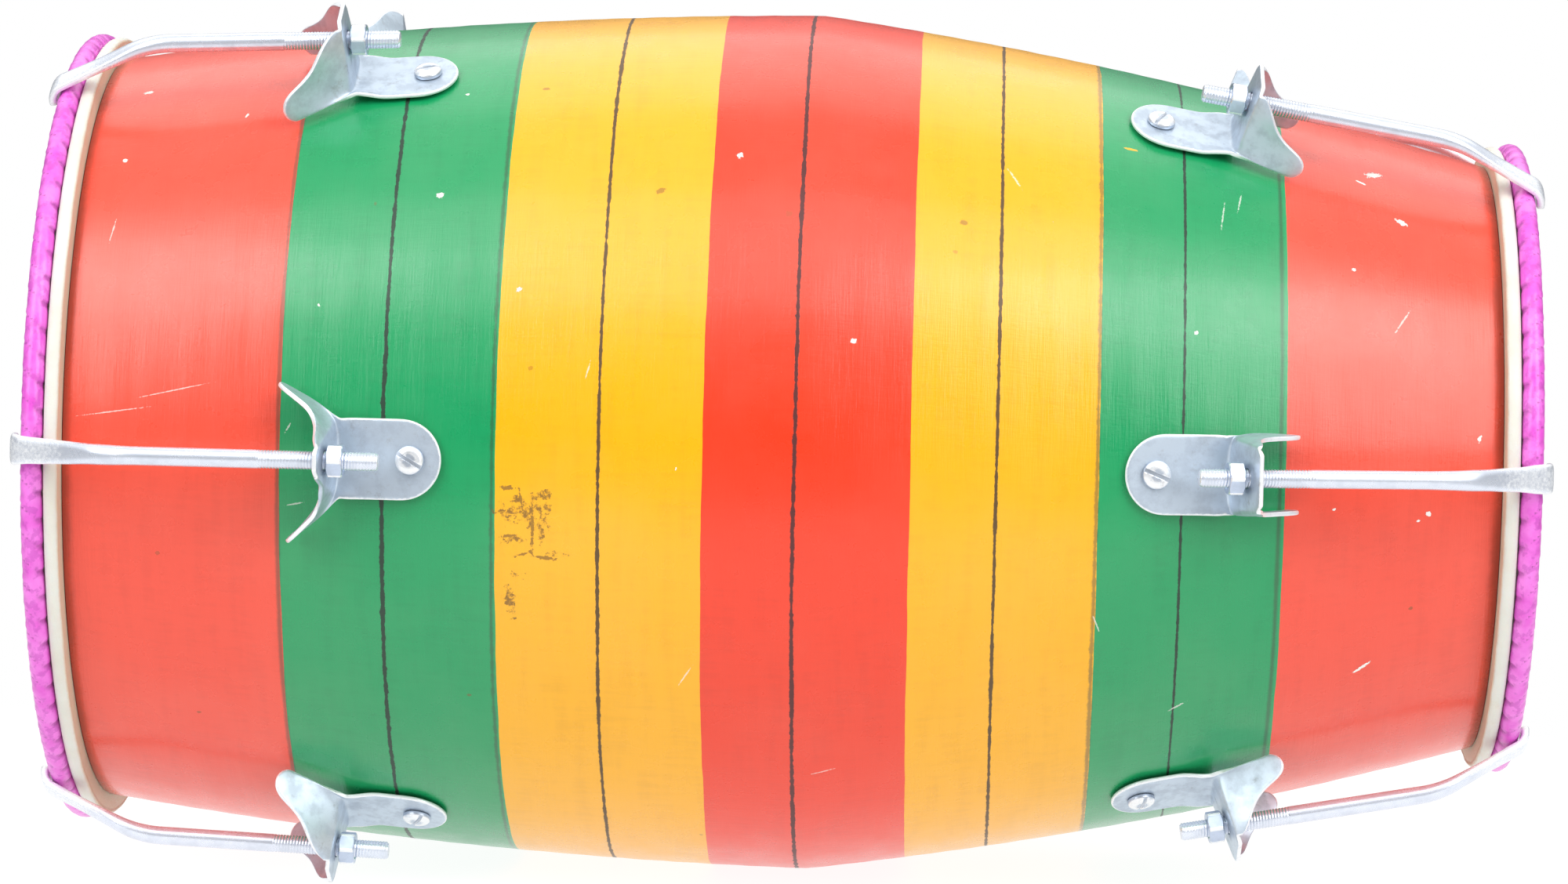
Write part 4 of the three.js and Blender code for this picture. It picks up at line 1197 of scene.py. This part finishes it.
def hook_line(end, k):
    """The hook's middle line above +X, as station, radius and heading, and where its thread ends."""
    pose = station_turn(end, k).inverted() @ rod_frame(end, k)
    along = pose.to_3x3() @ Vector((1, 0, 0))
    tilt = math.atan2(-along.z, along.x)
    nut = pose.translation
    rod_way = Vector((math.cos(tilt), -math.sin(tilt)))
    tail = Vector((nut.x, nut.z)) - rod_way * (nut_height + rod_tail[end])
    slope = strap_slope[end]
    strap_way = Vector((math.cos(slope), -math.sin(slope)))
    low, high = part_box(f"{end}_counter_hoop")
    bar = (high.x - low.x) / 2
    hoop = Vector((abs(low.x + high.x) / 2, high.z - bar))
    wrap = bar + hoop_clearance + strap_half_thickness
    touch = hoop + Vector((-strap_way.y, strap_way.x)) * wrap
    gap = touch - tail
    cross = rod_way.x * strap_way.y - rod_way.y * strap_way.x
    reach = (gap.x * strap_way.y - gap.y * strap_way.x) / cross
    corner = tail + rod_way * reach
    turn = slope - tilt
    tangent = strap_bend_radius * math.tan(turn / 2)
    bend_start = corner - rod_way * tangent
    bend_end = corner + strap_way * tangent
    thread = nut_height + rod_tail[end] + thread_past_nut + thread_past_flange
    steps = []
    step_size = thread_pitch / 8
    for run in np.arange(0, thread, step_size):
        steps.append((*(tail + rod_way * run), tilt))
    plain = np.linspace(thread, (bend_start - tail).length, 18)
    steps += [(*(tail + rod_way * run), tilt) for run in plain]
    centre = bend_start - Vector((-rod_way.y, rod_way.x)) * strap_bend_radius
    for heading in np.linspace(tilt, slope, 12)[1:]:
        spoke = Vector((math.sin(heading), math.cos(heading))) * strap_bend_radius
        steps.append((*(centre + spoke), heading))
    for share in np.linspace(0, 1, 8)[1:-1]:
        steps.append((*bend_end.lerp(touch, share), slope))
    for heading in np.linspace(slope, quarter_turn, 14):
        spoke = Vector((math.sin(heading), math.cos(heading))) * wrap
        steps.append((*(hoop + spoke), heading))
    lip = Vector(steps[-1][:2])
    for share in (0.35, 0.7, 0.9, 1):
        steps.append((lip.x, lip.y - lip_reach * share, quarter_turn))
    return np.array(steps), thread


def make_hook(end, k, zinc):
    """A threaded rod, beaten flat and bent over its hoop, with hammer marks on the strap."""
    line, thread = hook_line(end, k)
    rng = np.random.default_rng(300 + k + 10 * ends.index(end))
    runs = np.concatenate([[0], np.cumsum(np.linalg.norm(np.diff(line[:, :2], axis=0), axis=1))])
    total = runs[-1]
    around = 24
    angles = steps_round(around)
    flat = smooth_step((runs - (total - strap_from - strap_blend)) / strap_blend)
    places, widths = np.asarray(strap_widths).T * mm
    half_widths = np.interp(total - runs, places, widths)
    phases = rng.uniform(0, 2 * math.pi, len(hammer_pitches))
    rings = np.empty((len(line), around, 3))
    edge = np.empty((len(line), around))
    for i, (x, z, heading) in enumerate(line):
        run = runs[i]
        blows = sum(math.sin(run / pitch + phase) for pitch, phase in zip(hammer_pitches, phases))
        half_width = half_widths[i] + hammer_depth * (flat[i] * blows)
        half_thick = rod_radius + (strap_half_thickness - rod_radius) * flat[i]
        corner = 1 - 0.22 * max(0, run - (total - lip_rounding)) / lip_rounding
        power = 2 / (2 + 1.6 * flat[i])
        across = half_width * corner * np.sign(np.cos(angles)) * np.abs(np.cos(angles)) ** power
        rise = half_thick * np.sign(np.sin(angles)) * np.abs(np.sin(angles)) ** power
        if run < thread:
            phase = (run / thread_pitch + angles / (2 * math.pi)) % 1
            cut = np.abs(phase - 0.5) * 2
            runout = min(1, (thread - run) / thread_runout) * min(1, 0.35 + run / tip_run)
            chamfer = rod_chamfer * max(0, 1 - run / rod_chamfer_run)
            scale = 1 - (thread_depth * runout * cut + chamfer) / rod_radius
            across, rise = across * scale, rise * scale
        outward = np.array((math.sin(heading), 0, math.cos(heading)))
        rings[i] = np.array((x, 0, z)) + across[:, None] * np.array((0, 1, 0)) + rise[:, None] * outward
        # The strap is marked as mostly worn, so its plating whitens: partly hammer wear, partly a painted
        # highlight
        edge[i] = 0.1 + flat[i] * np.where(np.abs(np.cos(angles)) > 0.8, 0.9, 0.72)
    faces = grid_faces(len(line), around, False, True).tolist()
    last = (len(line) - 1) * around
    faces += [list(range(around))[::-1], [last + j for j in range(around)]]
    mesh = bpy.data.meshes.new("hook")
    mesh.from_pydata(rings.reshape(-1, 3).tolist(), [], faces)
    layer = mesh.attributes.new("edge", "FLOAT", "POINT")
    layer.data.foreach_set("value", edge.astype(np.float32).ravel())
    turn_faces_out(mesh)
    mesh.transform(station_turn(end, k))
    smooth_by_angle(mesh, 55)
    node = f"{end}_hook_{k}"
    return add_piece(f"{end}_beaten_hook_{k}", mesh, zinc, node, node)


def make_floor():
    """A wide pale floor that the drum's belly rests on. It fades to white well away from the drum."""
    floor = bpy.data.meshes.new("floor")
    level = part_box("shell")[0].z
    angles = steps_round(floor_sides)
    rim = [(floor_radius * math.cos(a), floor_radius * math.sin(a), level) for a in angles]
    floor.from_pydata(rim, [], [list(range(floor_sides))])
    material, sketch, shader = make_material("pale floor")
    place = sketch.place()
    shader["Roughness"].default_value = 0.7
    colour = sketch.mix(sketch.noise(place, 3.0), (0.93, 0.93, 0.93, 1), (0.96, 0.96, 0.96, 1))
    sketch.feed(shader["Base Color"], colour)
    away = sketch.length(sketch.scaled(place, (1.0, 1.0, 0.0)))
    directly = sketch.add("ShaderNodeLightPath").outputs["Is Camera Ray"]
    strength = sketch.maths("MAXIMUM", directly, sketch.remap(away, 0.4, 1.0, 1.1, 0.35))
    glow = sketch.add("ShaderNodeEmission", {"Color": (1, 1, 1, 1), "Strength": strength})
    fade = sketch.add("ShaderNodeMixShader", {0: sketch.remap(away, 0.05, 0.45, 0.84, 1.0)})
    output = material.node_tree.nodes["Material Output"]
    sketch.feed(fade.inputs[1], material.node_tree.nodes["Principled BSDF"].outputs[0])
    sketch.feed(fade.inputs[2], glow.outputs[0])
    sketch.feed(output.inputs[0], fade.outputs[0])
    floor.materials.append(material)
    piece = put_in_scene("floor", floor)


def make_world():
    """White behind the drum; a room that is dim at eye level and bright overhead in its reflections."""
    world = bpy.data.worlds.new("studio")
    world.use_nodes = True
    bpy.context.scene.world = world
    sketch = Sketch(world.node_tree)
    output = world.node_tree.nodes["World Output"]
    room = world.node_tree.nodes["Background"]
    way = sketch.add("ShaderNodeTexCoord").outputs["Generated"]
    height = sketch.remap(sketch.part(way, 2), 0.1, 0.75)
    glow = sketch.mix(height, (0.16, 0.17, 0.19, 1), (1.0, 1.0, 1.0, 1))
    sketch.feed(room.inputs["Color"], glow)
    room.inputs["Strength"].default_value = 0.75
    white = sketch.add("ShaderNodeBackground", {"Color": (1, 1, 1, 1), "Strength": 1.0})
    seen_directly = sketch.add("ShaderNodeLightPath").outputs["Is Camera Ray"]
    both = sketch.add("ShaderNodeMixShader", {0: seen_directly})
    sketch.feed(both.inputs[1], room.outputs[0])
    sketch.feed(both.inputs[2], white.outputs[0])
    sketch.feed(output.inputs[0], both.outputs[0])


def light_stage():
    make_floor()
    make_world()
    for softbox in softboxes:
        make_softbox(*softbox)
    view = bpy.context.scene.view_settings
    view.view_transform = "Standard"
    view.look = "None"
    view.exposure = 0.0


def make_drum():
    effects = {
        "speckle": make_speckle_effect(), "spot": make_spot_effect(), "line": make_line_effect(),
        "grain": make_grain_effect(), "zinc": make_zinc_effect(), "hide": make_hide_effect(),
    }
    rawhide = make_rawhide(effects)
    tape = make_tape()
    zinc = {name: make_zinc(effects, name, *finish) for name, finish in zinc_finishes.items()}
    iron = make_dull_coat("flat iron", seen(120, 114, 108), seen(70, 52, 42), 140.0, 0.6)
    paste = make_dull_coat("tuning paste", seen(40, 36, 34), seen(18, 16, 16), 260.0, 0.75)
    make_shell(make_enamel(effects), make_bare_wood())
    head = make_screw_head()
    for seed, (end, sign) in enumerate((("bass", -1), ("treble", 1))):
        make_skin(end, sign, rawhide, 11 + seed)
        make_hoop(end, sign, tape, 21 + seed)
        dress(f"{end}_flesh_hoop", iron)
        for k in stations:
            make_bracket(end, k, zinc["zinc sheet"])
            add_screw(end, k, head, zinc["zinc screw"])
            make_nut(end, k, zinc["zinc nut"])
            make_hook(end, k, zinc["zinc rod"])
    dress("bass_tuning_paste", paste)


def dress(node, material):
    """Gives a CAD node that stays a finish of its own."""
    mesh = frame["nodes"][node].data
    mesh.materials.clear()
    mesh.materials.append(material)


make_camera()
light_stage()
make_drum()
